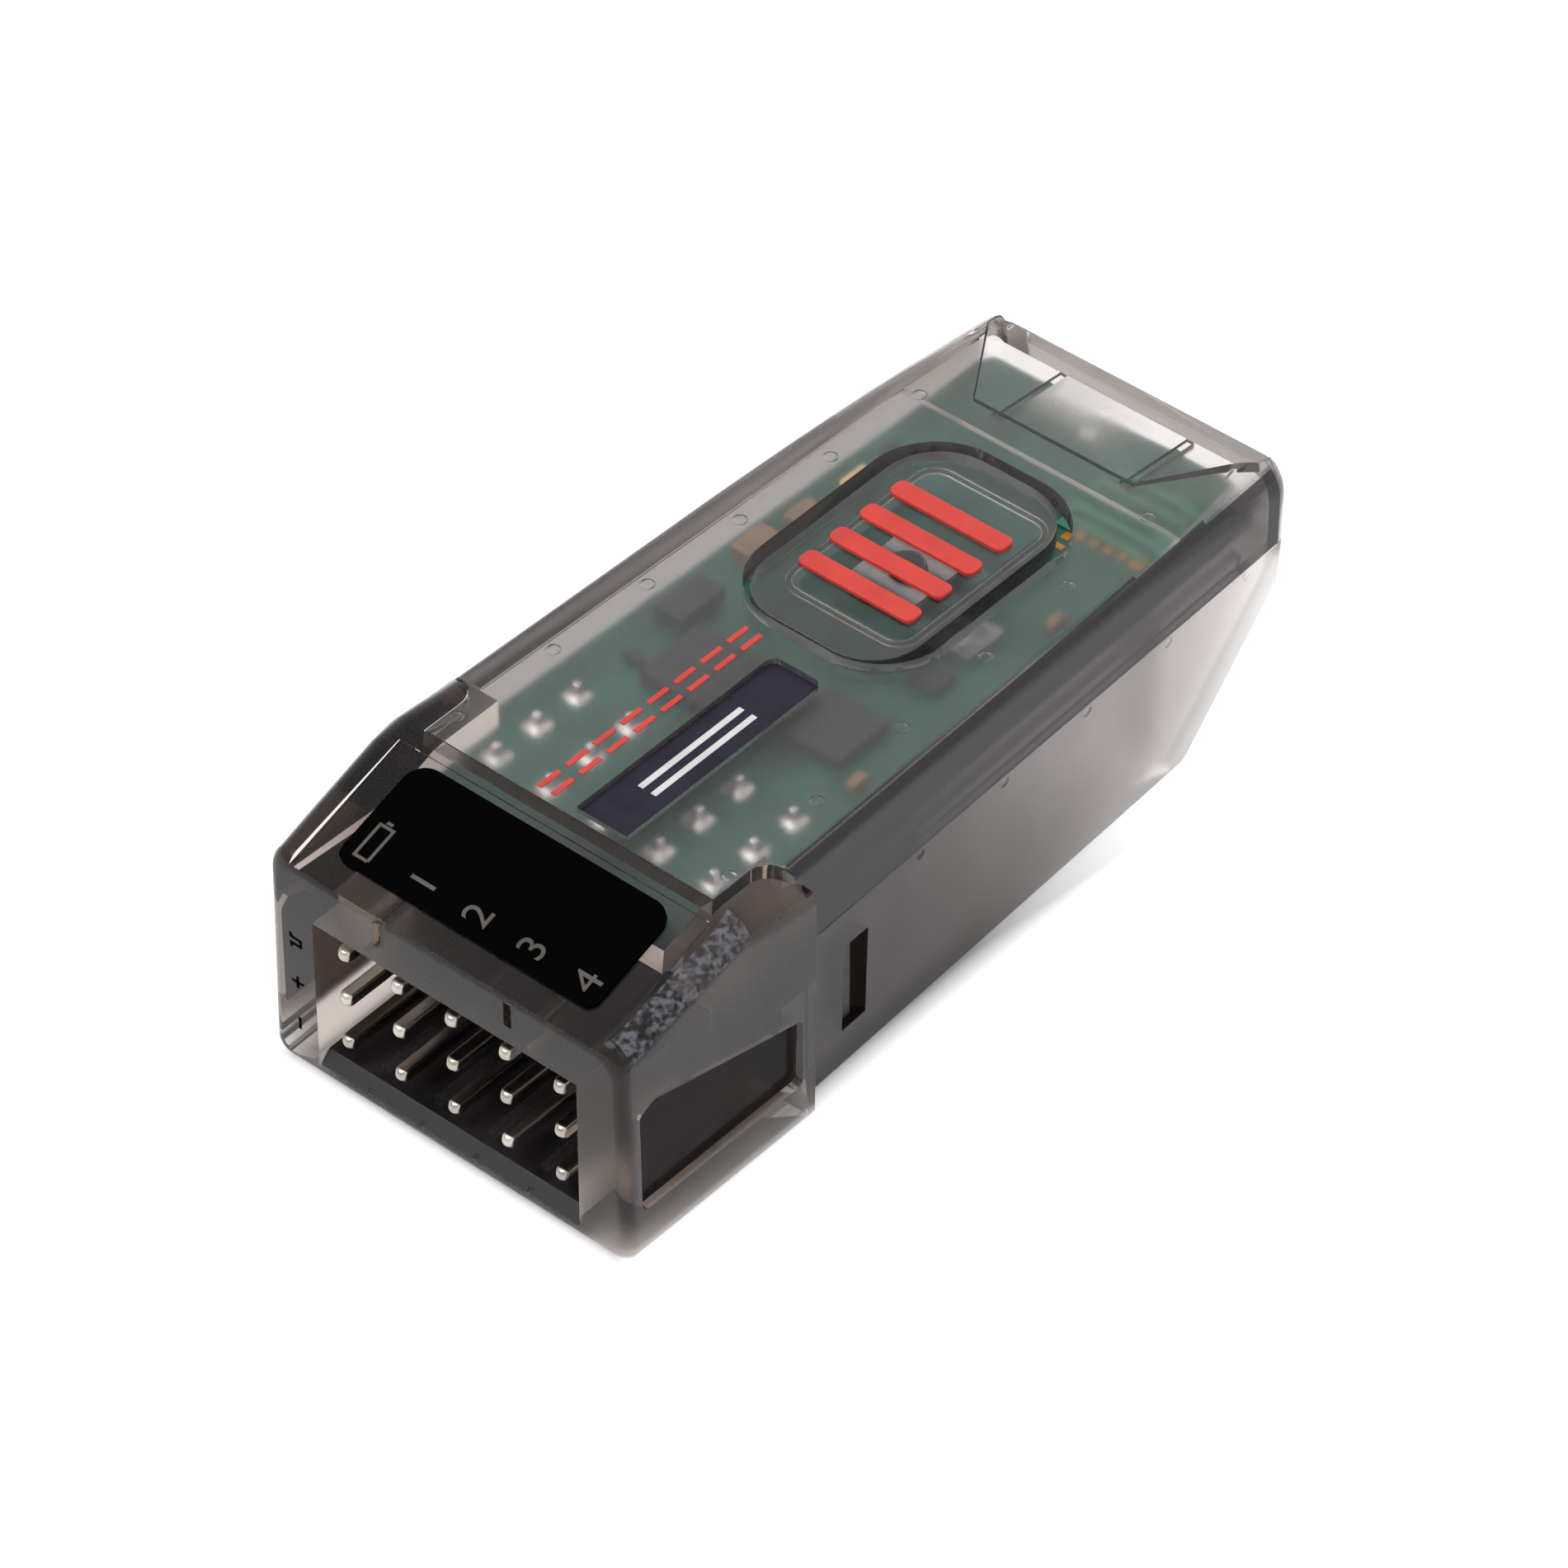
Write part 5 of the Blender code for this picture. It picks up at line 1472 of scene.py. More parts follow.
            for front, low, high in (
                    (2 * self.sill, ports.floor - self.rib_root,
                     ports.floor + self.rib_height),
                    (self.sill, ports.ceiling - self.rib_height,
                     ports.ceiling + self.rib_root)):
                nose.join(Solid.block(
                    "rib", (centre - self.rib_width / 2, case.y(front), low),
                    (centre + self.rib_width / 2, case.y(self.header_front - self.sill),
                     high), Surface.INSIDE))
        return nose

    def shade_sheet(self, finish: bpy.types.Material) -> Solid:
        """Thin black sheet of painted shade on the floor of the opening, which runs down over
        the sill.

        Args:
            finish: its material.

        Returns:
            The floor.
        """
        ports = self.ports
        rise = ports.floor - self.sill
        low, high = ports.floor + SINK, ports.floor + self.shade_sheet_height
        profile = [(-SINK, rise + SINK), (self.sill - 2 * SINK, low), (self.header_front, low),
                   (self.header_front, high), (self.sill, high),
                   (-SINK, rise + self.shade_sheet_height)]
        half = ports.half - self.clearance
        shade_sheet = Solid.crosswise("port_tray", self.case.profile(profile), -half, half, finish)
        for gap in range(ports.count - 1):
            centre = ports.between(gap)
            shade_sheet.cut(Solid.block(
                "nick", (centre - self.nick / 2, self.case.y(-self.sill), 0.0),
                (centre + self.nick / 2, self.case.y(self.nick), ports.ceiling), finish))
        return shade_sheet

    def build(self, looks: Finishes) -> None:
        """Build the nose, the black sheet of painted shade in its opening and its arms, and
        dress them.

        Args:
            looks: finishes of the receiver.
        """
        # Black sheet of painted shade on the floor of the opening
        wear(self.shade_sheet(looks.block).soften(self.shade_sheet_edge), "case", "header_black")
        for side, name in ((-1, "left_latch_arm"), (1, "right_latch_arm")):
            arm, hook = self.arms(side, looks.block)
            arm.join(hook).shown.name = name
            wear(arm.soften(self.arm_edge), "case", "header_black")
        nose = self.shroud().soften(self.edge)

        def on_chamfer(centre: Vector, normal: Vector) -> bool:
            """True for the rounded top edge on the right of the nose, whose crazing gets painted
            glints.

            Args:
                centre: middle of the face.
                normal: way that it looks.

            Returns:
                Whether it is.
            """
            distance = self.case.distance(centre)
            return (centre.x > self.panel_width / 2 + self.craze_margin
                    and centre.z > self.pocket_front_top and normal.z > 0.25
                    and normal.x > -0.02
                    and self.front_radius < distance < self.craze_end)

        def at_pocket_front(centre: Vector, normal: Vector) -> bool:
            """True for the narrow walls at the front end of the pockets, which get painted
            shade.

            Args:
                centre: middle of the face.
                normal: way that it looks.

            Returns:
                Whether it is.
            """
            past = self.case.distance(centre) - self.pocket_start
            return (-self.clearance < past < 3 * self.pocket_depth and abs(normal.x) < 0.8
                    and abs(centre.x) > self.base_front_width / 2 - 2 * self.pocket_depth
                    and -self.clearance < centre.z - self.pocket_floor
                    and centre.z < self.pocket_front_top + self.clearance)

        def over_board(centre: Vector, normal: Vector) -> bool:
            """True for the ceiling of the nose over the front of the board.

            Args:
                centre: middle of the face.
                normal: way that it looks.

            Returns:
                Whether it is.
            """
            return (normal.z < -0.5 and centre.z > self.board_bottom
                    and self.header_front / 2 < self.case.distance(centre)
                    < self.case.top_seam)

        def in_pocket(centre: Vector, normal: Vector) -> bool:
            """True for the floors of the pockets in the side walls, which get painted shade.

            Args:
                centre: middle of the face.
                normal: way that it looks.

            Returns:
                Whether it is.
            """
            distance = self.case.distance(centre)
            depth = self.base_front_width / 2 - abs(centre.x)
            return (abs(normal.x) > 0.9 and self.pocket_depth / 2 < depth < 2 * self.pocket_depth
                    and self.pocket_start < distance < self.pocket_end
                    and self.pocket_floor < centre.z < self.pocket_front_top)

        # Painted glints on the crazed right edge, and painted shade in the pockets and on their
        # front walls
        nose.paint(Surface.CRAZED, on_chamfer).paint(Surface.RECESS, in_pocket)
        nose.paint(Surface.EDGE, at_pocket_front).paint(Surface.DIM, over_board)
        nose.mould(looks.nose_smoke)
        wear(nose, "case", "smoke_case", "front_shroud")


@dataclass(frozen=True)
class BindButton:
    """Tongue that is pressed to bind, with its red grip bars."""

    case: CaseForm
    form: ButtonForm
    edge: float = 0.1 * MM
    nub_radius: float = 0.75 * MM
    nub_place: float = 30.0 * MM
    nub_low: float = 13.05 * MM

    def frame(self, finish: Look) -> Solid:
        """Low rounded frame that stiffens the tongue from below.

        Args:
            finish: how it is finished.

        Returns:
            The frame.
        """
        form = self.form
        under = self.case.height - self.case.wall
        rims = []
        for inset, reach in ((0.0, form.frame_depth), (form.frame_width, 2 * form.frame_depth)):
            half = form.frame_half - inset
            corner = form.frame_corner - inset
            outline = rounded_box(-half, half, self.case.y(form.frame_start + inset),
                                  self.case.y(form.frame_end - inset), corner, corner, 6)
            rims.append(Solid.upright("frame", outline, under - reach, under + reach, finish))
        return rims[0].cut(rims[1])

    def build(self, looks: Finishes) -> None:
        """Build the tongue and the bars, and dress them.

        Args:
            looks: finishes of the receiver.
        """
        case = self.case
        form = self.form
        top = case.height
        outline = form.outline(case, form.side_gap, form.rear_gap, form.hinge_gap)
        tongue = Solid.upright("button_tongue", outline, top - case.wall, top,
                               Surface.POLISHED)
        tongue.join(Solid.upright("nub", circle(0.0, case.y(self.nub_place),
                                                self.nub_radius, 32), self.nub_low,
                                  top - case.wall / 2, Surface.INSIDE))
        tongue.join(self.frame(Surface.INSIDE))
        under = top - case.wall
        # Painted shade on the upright walls of the tongue
        tongue.soften(self.edge, 3).paint(
            Surface.EDGE, lambda centre, normal: abs(normal.z) < STEEP and centre.z > under)
        tongue.paint(Surface.DIM, lambda centre, normal: centre.z < under
                     and math.hypot(centre.x, centre.y - case.y(self.nub_place))
                     > 2 * self.nub_radius)
        tongue.mould(looks.smoke)
        wear(tongue, "button", "smoke_case", "bind_button")
        for index in range(form.bar_count):
            centre = form.bar_centre + (index - (form.bar_count - 1) / 2) * form.bar_pitch
            outline = rounded_box(
                -form.bar_length / 2, form.bar_length / 2, case.y(centre - form.bar_width / 2),
                case.y(centre + form.bar_width / 2), form.bar_width / 3, form.bar_width / 3, 6)
            bar = Solid.upright(f"grip_bar_{index + 1}", outline, top - form.bar_root,
                                top + form.bar_height, looks.red_ink)
            wear(bar.soften(form.bar_edge, 3), "button", "print_red")


# Labels and print


def flat_outline(name: str, outlines: Sequence[Sequence[Spot]],
                 lift: Callable[[float, float, float], Place], thickness: float,
                 finish: bpy.types.Material) -> Solid:
    """Thin print made of one or more outlines.

    Args:
        name: name of the piece.
        outlines: closed outlines of u and v, each a part of the print.
        lift: place in space of a point with u, v and height above the surface.
        thickness: height of the print above the surface.
        finish: material of the print.

    Returns:
        The print, which reaches a little into the surface.
    """
    return gather(name, [Solid(name, [[lift(u, v, h) for u, v in outline]
                                      for h in (SINK, thickness)], finish)
                         for outline in outlines])


def stroke(points: Sequence[Spot], width: float) -> list[Spot]:
    """Outline of a pen stroke with mitred corners through some points.

    Args:
        points: middle line of the stroke.
        width: width of the stroke.

    Returns:
        The closed outline.
    """
    line = [Vector(point) for point in points]
    left: list[Spot] = []
    right: list[Spot] = []
    for index, point in enumerate(line):
        ways = []
        if index > 0:
            ways.append((point - line[index - 1]).normalized())
        if index < len(line) - 1:
            ways.append((line[index + 1] - point).normalized())
        normal = sum((Vector((-way.y, way.x)) for way in ways), Vector((0.0, 0.0)))
        offset = normal * (width / 2) * len(ways) / max(normal.length_squared, 0.3)
        left.append(tuple(point + offset))
        right.append(tuple(point - offset))
    return left + right[::-1]


def numeral(figure: str, size: float, lift: Callable[[float, float, float], Place],
            thickness: float, finish: bpy.types.Material) -> Solid:
    """Raised number in Blender's own plain typeface.

    Args:
        figure: the number.
        size: height of the type.
        lift: place in space of a point with u along the line, v up it, and its height.
        thickness: height of the print above the surface.
        finish: material of the print.

    Returns:
        The closed number.
    """
    curve = bpy.data.curves.new("numeral", "FONT")
    curve.body = figure
    curve.size = size
    curve.resolution_u = 4
    shown = bpy.data.objects.new("numeral", curve)
    bpy.context.scene.collection.objects.link(shown)
    graph = bpy.context.evaluated_depsgraph_get()
    graph.update()
    flat = bpy.data.meshes.new_from_object(shown.evaluated_get(graph))
    mesh_data = bmesh.new()
    mesh_data.from_mesh(flat)
    bpy.data.objects.remove(shown, do_unlink=True)
    bpy.data.meshes.remove(flat)
    bmesh.ops.remove_doubles(mesh_data, verts=mesh_data.verts, dist=size / 2000)
    spots = [Vector(vertex.co) for vertex in mesh_data.verts]
    for vertex, spot in zip(mesh_data.verts, spots):
        vertex.co = lift(spot.x, spot.y, SINK)
    grown = bmesh.ops.extrude_face_region(mesh_data, geom=list(mesh_data.faces),
                                          use_keep_orig=True)["geom"]
    rise = Vector(lift(0.0, 0.0, thickness)) - Vector(lift(0.0, 0.0, SINK))
    for item in grown:
        if isinstance(item, bmesh.types.BMVert):
            item.co += rise
    bmesh.ops.recalc_face_normals(mesh_data, faces=mesh_data.faces)
    whole = Solid("numeral", [[(0.0, 0.0, 0.0), (MM, 0.0, 0.0), (0.0, MM, 0.0)],
                              [(0.0, 0.0, MM), (MM, 0.0, MM), (0.0, MM, MM)]], finish)
    mesh_data.to_mesh(whole.shown.data)
    mesh_data.free()
    return whole


def gather(name: str, parts: Sequence[Solid]) -> Solid:
    """Put separate solids into one piece, and shade it smoothly.

    Args:
        name: name of the piece.
        parts: solids, which are used up.

    Returns:
        The piece.
    """
    whole = parts[0]
    mesh_data = bmesh.new()
    for part in parts:
        mesh_data.from_mesh(part.shown.data)
    mesh_data.to_mesh(whole.shown.data)
    mesh_data.free()
    for part in parts[1:]:
        bpy.data.objects.remove(part.shown, do_unlink=True)
    whole.shown.name = name
    return whole.smooth(40)


class Mark(Enum):
    """Plain marks that the label and the nose carry, as strokes in a unit square."""

    CELL = (((0.0, 0.2), (1.5, 0.2), (1.5, 0.85), (0.0, 0.85), (0.0, 0.2)),
            ((1.68, 0.38), (1.68, 0.67)))
    PULSE = (((0.0, 0.25), (0.25, 0.25), (0.25, 0.8), (0.6, 0.8), (0.6, 0.25), (0.85, 0.25)),)
    PLUS = (((0.1, 0.5), (0.8, 0.5)), ((0.45, 0.15), (0.45, 0.85)))
    MINUS = (((0.1, 0.5), (0.8, 0.5)),)


@dataclass(frozen=True)
class PortLabel:
    """Black label on the sloped panel, with plain numbers for the ports."""

    case: CaseForm
    nose: NoseShroud
    start: float = 1.3 * MM
    width: float = 14.35 * MM
    length: float = 5.62 * MM
    front_corner: float = 0.6 * MM
    rear_corner: float = 1.1 * MM
    thickness: float = 0.17 * MM
    ink: float = 0.18 * MM
    figure: float = 1.95 * MM
    cap_share: float = 0.73
    sign: float = 1.15 * MM
    pen: float = 0.15 * MM
    lead: float = 0.55 * MM

    def lift(self, u: float, v: float, height: float) -> Place:
        """Place of a point on the panel.

        Args:
            u: how far across.
            v: how far up the slope.
            height: height above the panel.

        Returns:
            The place.
        """
        rise = self.nose.panel(self.case.top_seam) - self.nose.panel(0.0)
        along = Vector((self.case.top_seam, rise)).normalized()
        base = Vector((self.start, self.nose.panel(self.start)))
        spot = base + along * v + Vector((-along.y, along.x)) * height
        return u, self.case.y(spot.x), spot.y

    def numbers(self, looks: Finishes) -> Solid:
        """Battery sign and the numbers of the other ports, which read up the slope.

        Args:
            looks: finishes of the receiver.

        Returns:
            The print.
        """
        ports = self.nose.ports
        parts = []
        for line in Mark.CELL.value:
            points = [(ports.x(0) + (0.5 - q) * self.sign, self.lead + p * self.sign)
                      for p, q in line]
            outline = stroke(points, self.pen)
            parts.append(Solid("sign", [[self.lift(u, v, h) for u, v in outline]
                                        for h in (SINK, self.ink)], looks.grey_ink))
        for port in range(1, ports.count):
            base = ports.x(port) + self.figure * self.cap_share / 2

            def lift(u: float, v: float, height: float, base: float = base) -> Place:
                """Place of a point of a number that reads up the slope."""
                return self.lift(base - v, self.lead + u, height)

            parts.append(numeral(str(port), self.figure, lift, self.ink, looks.grey_ink))
        return gather("port_numbers", parts)

    def build(self, looks: Finishes) -> None:
        """Build the label and its numbers, and dress them.

        Args:
            looks: finishes of the receiver.
        """
        outline = rounded_box(-self.width / 2, self.width / 2, 0.0, self.length,
                              self.front_corner, self.rear_corner)
        label = flat_outline("port_label_film", [outline], self.lift, self.thickness,
                             looks.label)
        wear(label, "case", "label_black", "port_label")
        wear(self.numbers(looks), "case", "print_grey")


@dataclass(frozen=True)
class TopPrint:
    """Blank plate in the recess and two rows of red dashes beside it."""

    case: CaseForm
    start: float = 8.5 * MM
    length: float = 12.5 * MM
    left: float = 0.05 * MM
    width: float = 2.7 * MM
    front_corner: float = 0.06 * MM
    corner: float = 0.45 * MM
    edge: float = 0.03 * MM
    low: float = 13.74 * MM
    high: float = 13.9 * MM
    rule_start: float = 11.3 * MM
    rule_end: float = 17.8 * MM
    rule_width: float = 0.3 * MM
    rule_spacing: float = 0.72 * MM
    rule_thickness: float = 0.015 * MM
    dash_count: int = 8
    dash_start: float = 8.4 * MM
    dash_pitch: float = 1.72 * MM
    dash_length: float = 1.25 * MM
    dash_spacing: float = 0.756 * MM
    dash_centre: float = -1.62 * MM
    dash_thickness: float = 0.03 * MM
    pen: float = 0.26 * MM

    def build(self, looks: Finishes) -> None:
        """Build the plate and the print, and dress them.

        Args:
            looks: finishes of the receiver.
        """
        case = self.case
        outline = rounded_box(self.left, self.left + self.width, case.y(self.start),
                              case.y(self.start + self.length), self.front_corner, self.corner)
        plate = Solid.upright("plate_film", outline, self.low, self.high,
                              looks.slate).soften(self.edge)
        wear(plate, "case", "plate_slate", "nameplate")
        places = [self.left + self.width / 2 + side * self.rule_spacing / 2 for side in SIDES]
        rules = [stroke([(x, self.rule_start), (x, self.rule_end)], self.rule_width)
                 for x in places]
        wear(flat_outline("plate_rules", rules, case.on_level(self.high),
                          self.rule_thickness, looks.white_ink), "case", "print_white")
        dashes = []
        for index in range(self.dash_count):
            first = self.dash_start + index * self.dash_pitch
            for side in SIDES:
                x = self.dash_centre + side * self.dash_spacing / 2
                dashes.append(stroke([(x, first), (x, first + self.dash_length)], self.pen))
        wear(flat_outline("cover_dashes", dashes, case.on_level(case.height),
                          self.dash_thickness, looks.red_ink), "case", "print_red")


@dataclass(frozen=True)
class NoseMarks:
    """Plain polarity marks on the left of the front face."""

    case: CaseForm
    x: float = -8.45 * MM
    heights: tuple[float, float, float] = (7.3 * MM, 4.9 * MM, 2.5 * MM)
    size: float = 1.0 * MM
    pen: float = 0.17 * MM

    def lift(self, u: float, v: float, height: float) -> Place:
        """Place of a point on the front face."""
        return u, self.case.y(-height), v

    def build(self, looks: Finishes) -> None:
        """Build the marks and dress them.

        Args:
            looks: finishes of the receiver.
        """
        outlines = []
        for mark, height in zip((Mark.PULSE, Mark.PLUS, Mark.MINUS), self.heights):
            for line in mark.value:
                points = [(self.x + (q - 0.5) * self.size, height + (p - 0.4) * self.size)
                          for p, q in line]
                outlines.append(stroke(points, self.pen))
        wear(flat_outline("polarity_marks", outlines, self.lift, 0.0, looks.dark_ink),
             "case", "print_grey")


# Contacts and circuit board


@dataclass(frozen=True)
class Contacts:
    """Fifteen square pins, each bent up and soldered through the board."""

    case: CaseForm
    ports: PortForm
    side: float = 0.64 * MM
    corner: float = 0.11 * MM
    tip: float = 0.25 * MM
    tip_taper: float = 0.3 * MM
    bend: float = 0.6 * MM
    first_solder: float = 10.2 * MM
    board_top: float = 11.83 * MM
    solder_radius: float = 0.74 * MM
    solder_height: float = 0.74 * MM

    def section(self, share: float, roundness: float) -> list[Spot]:
        """Square section with rounded corners.

        Args:
            share: share of the full side.
            roundness: what is added to the radius of its corners.

        Returns:
            The points of the section.
        """
        half = self.side / 2 * share
        radius = min(half * 0.98, self.corner + roundness)
        return fillet([(half, -half, radius), (half, half, radius), (-half, half, radius),
                       (-half, -half, radius)], 4)

    def pin(self, name: str, port: int, row: int, looks: Finishes) -> Solid:
        """Build one pin.

        Args:
            name: name of the piece.
            port: port from 0.
            row: row from 0, which is the lowest.
            looks: finishes of the receiver.

        Returns:
            The pin with its soldered end.
        """
        x = self.ports.x(port)
        height = self.ports.bottom + row * self.ports.row_pitch
        solder = self.case.y(self.first_solder
                             + (self.ports.rows - 1 - row) * self.ports.row_pitch)
        tip = self.case.y(self.tip)
        rings = []
        for step in range(7):
            angle = math.pi / 2 * step / 6
            share = 0.12 + 0.88 * math.sin(angle) ** 0.8
            rings.append([(x + u, tip + self.tip_taper * (1 - math.cos(angle)), height + v)
                          for u, v in self.section(share, self.side * 0.4 * (1 - step / 6))])
        bend = solder - self.bend
        for step in range(9):
            angle = math.pi / 2 * step / 8
            ring = []
            for u, v in self.section(1.0, 0.0):
                radius = self.bend - v
                ring.append((x + u, bend + radius * math.sin(angle),
                             height + self.bend - radius * math.cos(angle)))
            rings.append(ring)
        rings.append([(x + u, solder - v, self.board_top) for u, v in self.section(1.0, 0.0)])
        for share, level in ((1.0, 0.0), (0.98, 0.05), (0.72, 0.18), (0.5, 0.38),
                             (0.38, 0.62), (0.33, 0.86), (0.27, 0.96), (0.12, 1.0)):
            ring = []
            for u, v in self.section(1.0, 0.0):
                way = Vector((u, -v)).normalized() * self.solder_radius * share
                ring.append((x + way.x, solder + way.y,
                             self.board_top + level * self.solder_height))
            rings.append(ring)
        pin = Solid(name, rings, looks.tin)
        pin.paint(looks.solder, lambda centre, normal: centre.z >= self.board_top)
        return pin.smooth(60)

    def build(self, looks: Finishes) -> None:
        """Build every pin and dress it.

        Args:
            looks: finishes of the receiver.
        """
        for row, kind in enumerate(("ground", "power", "signal")):
            for port in range(self.ports.count):
                pin = self.pin(f"{kind}_contact_{port + 1}", port, row, looks)
                wear(pin, "case", "pin_tin", f"{kind}_pin_{port + 1}")


@dataclass(frozen=True)
class CircuitBoard:
    """Green board with its copper, its test points and the parts that stand on it."""

    case: CaseForm
    contacts: Contacts
    top: float = 11.8 * MM
    thickness: float = 1.0 * MM
    start: float = 5.65 * MM
    end: float = 44.6 * MM
    neck: float = 12.4 * MM
    nose_half: float = 7.35 * MM
    front_half: float = 8.2 * MM
    rear_half: float = 7.3 * MM
    corner: float = 0.5 * MM
    edge: float = 0.04 * MM
    copper: float = 0.02 * MM
    pad_count: int = 6
    pad_x: float = 2.9 * MM
    pad_pitch: float = 0.75 * MM
    pad_start: float = 37.2 * MM
    pad_end: float = 38.1 * MM
    pad_width: float = 0.42 * MM
    link: tuple[Spot, Spot] = ((2.7 * MM, 36.7 * MM), (3.3 * MM, 36.7 * MM))
    link_width: float = 0.35 * MM
    points: tuple[Spot, Spot] = ((-0.5 * MM, 43.1 * MM), (-5.5 * MM, 23.7 * MM))
    point_radius: float = 0.42 * MM

    def outline(self) -> list[Spot]:
        """Plan of the board."""
        rows = [(self.nose_half, self.start, self.corner), (self.nose_half, self.neck, 0.0),
                (self.front_half, self.neck, 0.0), (self.rear_half, self.end, self.corner)]
        rows = [(-self.nose_half, self.start, self.corner), *rows,
                *((-x, d, radius) for x, d, radius in rows[:0:-1])]
        return fillet([(x, self.case.y(d), radius) for x, d, radius in rows], 5)

    def pads(self, looks: Finishes) -> None:
        """Add the bare gilt pads and the tinned test points.

        Args:
            looks: finishes of the receiver.
        """
        on_board = self.case.on_level(self.top)
        places = [self.pad_x + self.pad_pitch * step for step in range(self.pad_count)]
        gilt = [stroke([(x, self.pad_start), (x, self.pad_end)], self.pad_width)
                for x in places]
        gilt.append(stroke(self.link, self.link_width))
        wear(flat_outline("gilt_pads", gilt, on_board, self.copper, looks.gilt),
             "case", "copper_gilt")
        points = [circle(x, d, self.point_radius, 24) for x, d in self.points]
        wear(flat_outline("test_points", points, on_board, 2 * self.copper, looks.solder),
             "case", "pin_tin")

    def build(self, looks: Finishes) -> None:
        """Build the board and what is printed on it, and dress the parts.

        Args:
            looks: finishes of the receiver.
        """
        board = Solid.upright("board_laminate", self.outline(), self.top - self.thickness,
                              self.top, looks.mask)
        board.paint(looks.edge, lambda centre, normal: abs(normal.z) < 0.5)
        wear(board.soften(self.edge), "case", "board_green", "circuit_board")
        self.pads(looks)
        for finish, nodes in (
                (looks.block, ("header_block",)),
                (looks.package, ("switch_base", "switch_plunger", "main_chip", "radio_chip",
                                 "antenna_switch", "voltage_regulator")),
                (looks.shield, ("switch_cover", "crystal")),
                (looks.lamp, ("status_led",)),
                (looks.ceramic, ("input_capacitor", "output_capacitor",
                                 "filter_capacitor_1", "filter_capacitor_2",
                                 "filter_capacitor_3")),
                (looks.resistor, ("resistor_1", "resistor_2", "resistor_3", "resistor_4")),
                (looks.track, ("board_antenna",))):
            for node in nodes:
                dress(node, finish)


def dress(node: str, finish: bpy.types.Material) -> None:
    """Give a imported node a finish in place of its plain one.

    Args:
        node: name of the node.
        finish: its material.
    """
    shown = bpy.data.objects[node]
    shown.data.materials.clear()
    shown.data.materials.append(finish)
    LOG.info("%s dressed", node)


# Studio


@dataclass(frozen=True)
class Lamp:
    """Square lamp that looks at the object."""

    name: str
    place: Place
    side: float
    power: float

    def build(self) -> None:
        """Add the lamp."""
        data = bpy.data.lights.new(self.name, "AREA")
        data.shape = "SQUARE"
        data.size = self.side
        data.energy = self.power
        shown = bpy.data.objects.new(self.name, data)
        bpy.context.scene.collection.objects.link(shown)
        shown.location = self.place
        shown.rotation_euler = (-Vector(self.place)).to_track_quat("-Z", "Y").to_euler()


@dataclass(frozen=True)
class Fade:
    """Strip along one side of the object in which the floor's glow grows from nothing, painting
    a soft shadow edge, and light under the object's rear.
    """

    axis: int
    side: int
    start: float
    reach: float


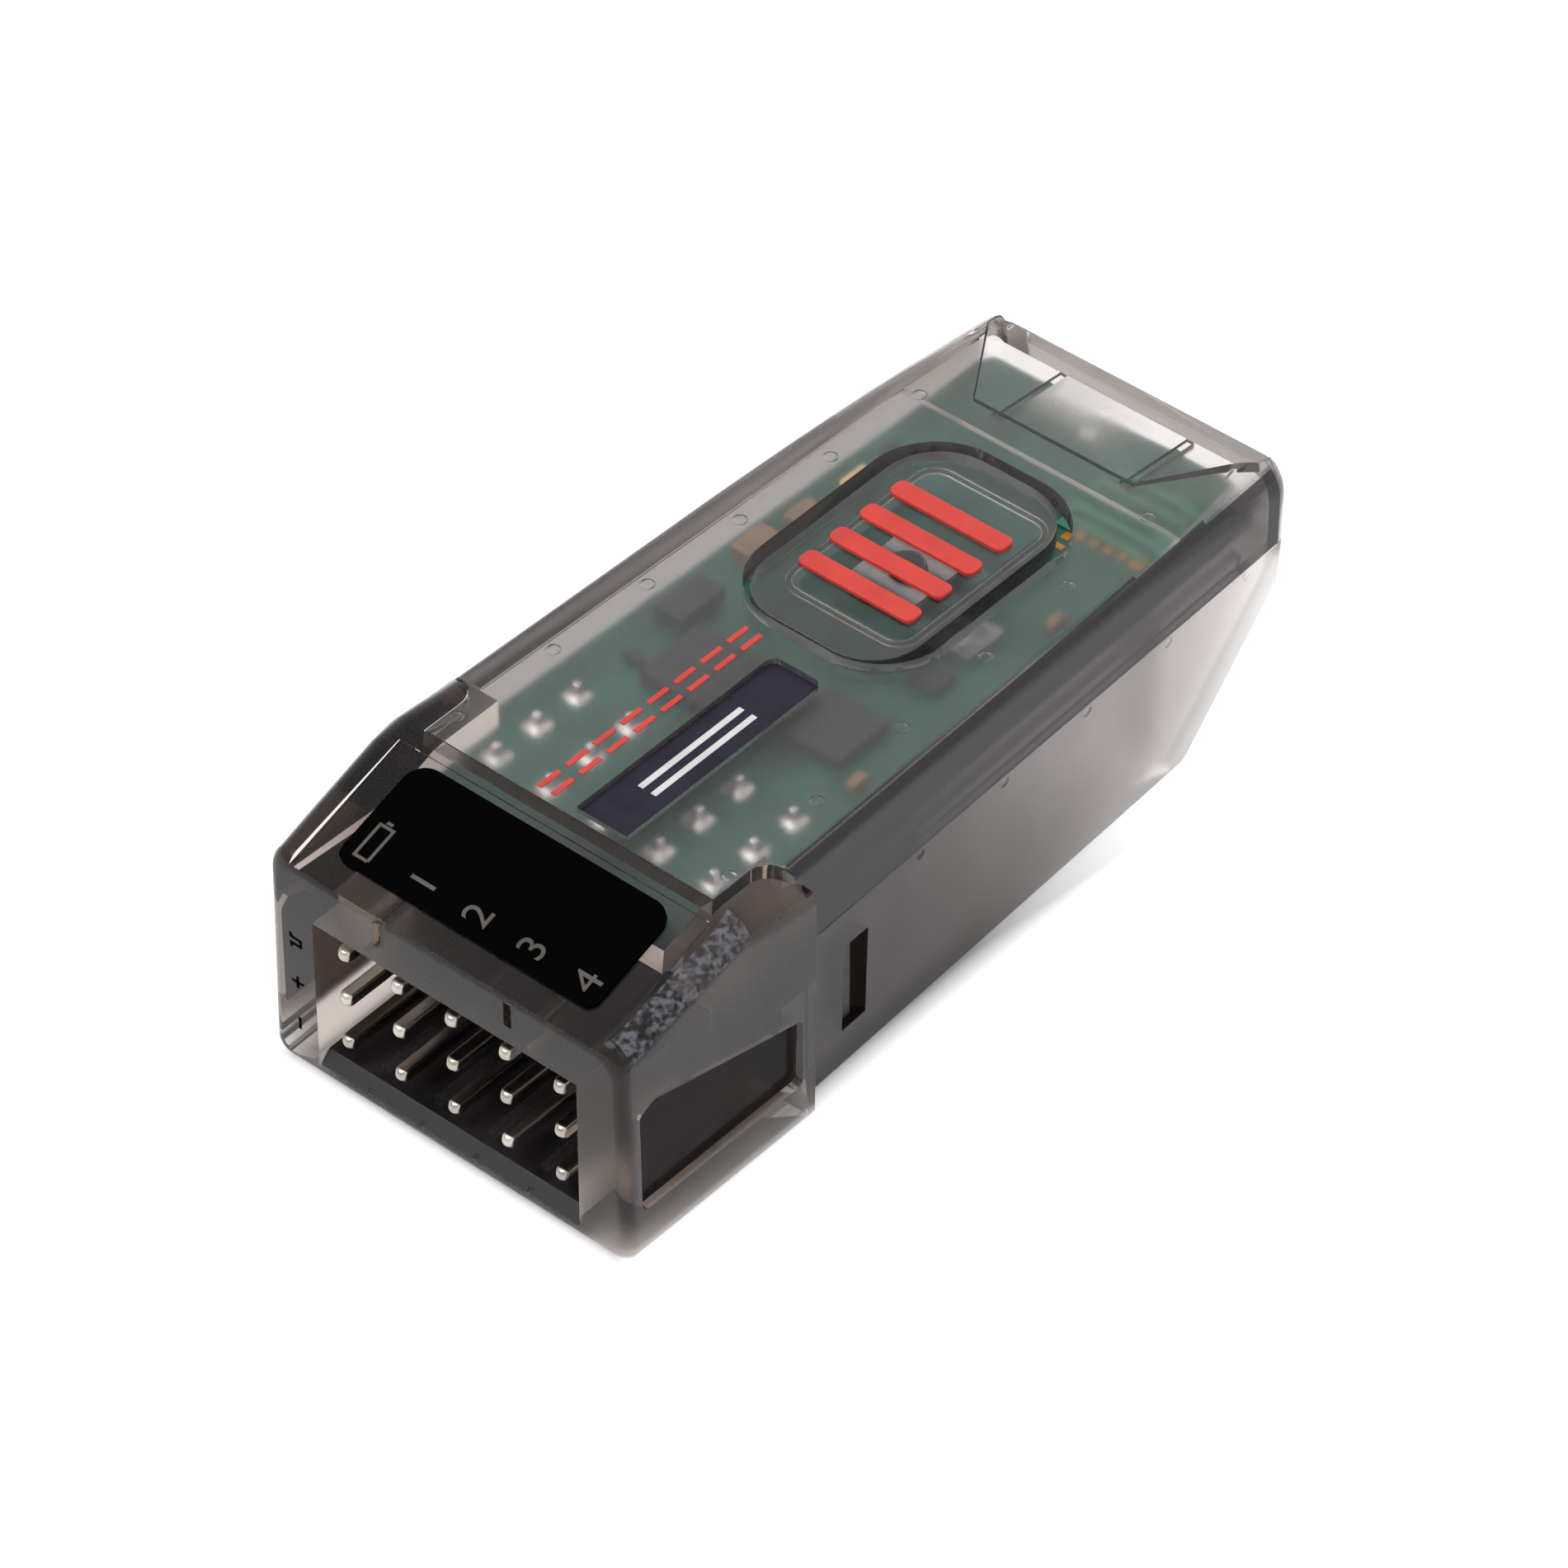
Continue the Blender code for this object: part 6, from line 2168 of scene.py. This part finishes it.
@dataclass(frozen=True)
class Studio:
    """Pale floor, soft lamps, white surroundings and the camera of the photograph."""

    lamps: tuple[Lamp, ...] = (Lamp("key_lamp", (-0.12, -0.20, 0.38), 0.26, 0.75),
                               Lamp("fill_lamp", (0.32, -0.22, 0.30), 0.30, 0.25),
                               Lamp("back_lamp", (0.10, 0.42, 0.22), 0.30, 0.4))
    # Painted shadow edge and painted light: the floor's glow fades in over these strips
    fades: tuple[Fade, ...] = (Fade(0, -1, 8.8 * MM, 2.0 * MM), Fade(0, 1, 8.8 * MM, 1.5 * MM),
                               Fade(1, -1, 22.6 * MM, 1.2 * MM),
                               Fade(1, 1, 1.0 * MM, 14.0 * MM))
    floor_side: float = 4.0
    floor_grain: float = 60.0
    glow: float = 0.88
    sky: float = 0.45
    azimuth: float = 40.435
    elevation: float = 42.245
    roll: float = 0.092
    target: Place = (-2.607 * MM, 1.731 * MM, 2.6 * MM)
    distance: float = 326.814 * MM
    lens: float = 170.44

    def open_floor(self, art: Painter) -> bpy.types.NodeSocket:
        """Strength of the floor's glow: none under the front of the object, where its shadow
        shows, fading in round it as a painted shadow edge, and growing under its rear as painted
        light.

        Args:
            art: painter of the floor.

        Returns:
            The strength, which grows with the distance from the object.
        """
        axes = art.add("SeparateXYZ", Vector=art.place).outputs
        shares = [art.span(axes[fade.axis], 0.0, 1.0, fade.side * fade.start,
                           fade.side * (fade.start + fade.reach)) for fade in self.fades]
        largest = shares[0]
        for share in shares[1:]:
            largest = art.work_out("MAXIMUM", largest, share)
        return art.span(largest, 0.0, self.glow)

    def floor(self) -> None:
        """Add the floor, which looks white where its glow is full."""
        art = Painter(bpy.data.materials.new("studio_floor"))
        grain = art.noise(self.floor_grain, 4.0)
        lit = art.add("BsdfPrincipled", Roughness=0.9,
                      Base_Color=art.blend(grain, (0.80, 0.80, 0.80), (0.82, 0.82, 0.82)))
        glow = art.add("Emission", Color=(1.0, 1.0, 1.0), Strength=self.open_floor(art))
        both = art.add("AddShader")
        art.tree.links.new(lit.outputs[0], both.inputs[0])
        art.tree.links.new(glow.outputs[0], both.inputs[1])
        half = self.floor_side / 2
        mesh = bpy.data.meshes.new("studio_floor")
        mesh.from_pydata([(-half, -half, 0.0), (half, -half, 0.0), (half, half, 0.0),
                          (-half, half, 0.0)], [], [(0, 1, 2, 3)])
        mesh.materials.append(art.finish(art.mix(art.seen(), lit, both)))
        shown = bpy.data.objects.new("studio_floor", mesh)
        bpy.context.scene.collection.objects.link(shown)

    def surroundings(self) -> None:
        """Set the world: soft light on the object, and white where it is seen."""
        world = bpy.data.worlds.new("studio_world")
        bpy.context.scene.world = world
        art = Painter(world, "OutputWorld")
        soft, white = (art.add("Background", Color=(1.0, 1.0, 1.0), Strength=strength)
                       for strength in (self.sky, 1.0))
        art.finish(art.mix(art.seen(), soft, white))

    def camera(self) -> None:
        """Add the camera at the angle of the photograph."""
        around = math.radians(self.azimuth)
        up = math.radians(self.elevation)
        back = Vector((math.sin(around) * math.cos(up), -math.cos(around) * math.cos(up),
                       math.sin(up)))
        right = Vector((math.cos(around), math.sin(around), 0.0))
        above = back.cross(right)
        roll = math.radians(self.roll)
        tilted_right = right * math.cos(roll) + above * math.sin(roll)
        tilted_up = back.cross(tilted_right)
        data = bpy.data.cameras.new("photo_camera")
        data.sensor_width = 36.0
        data.lens = self.lens
        data.clip_start = 0.01
        shown = bpy.data.objects.new("photo_camera", data)
        bpy.context.scene.collection.objects.link(shown)
        turn = Matrix((tilted_right, tilted_up, back)).transposed().to_4x4()
        shown.matrix_world = Matrix.Translation(Vector(self.target)
                                                + back * self.distance) @ turn
        bpy.context.scene.camera = shown

    def build(self) -> None:
        """Set up the studio."""
        self.floor()
        self.surroundings()
        for lamp in self.lamps:
            lamp.build()
        self.camera()
        bpy.context.scene.view_settings.view_transform = "Standard"


def main() -> None:
    """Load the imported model, dress it and set up the studio."""
    logging.basicConfig(level=logging.INFO, format="%(name)s: %(message)s")
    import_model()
    looks = Finishes.make()
    case = CaseForm()
    button = ButtonForm()
    ports = PortForm()
    nose = NoseShroud(case, ports)
    CaseShells(case, button).build(looks)
    nose.build(looks)
    BindButton(case, button).build(looks)
    PortLabel(case, nose).build(looks)
    TopPrint(case).build(looks)
    NoseMarks(case).build(looks)
    contacts = Contacts(case, ports)
    contacts.build(looks)
    CircuitBoard(case, contacts).build(looks)
    Studio().build()


if __name__ == "__main__":
    main()
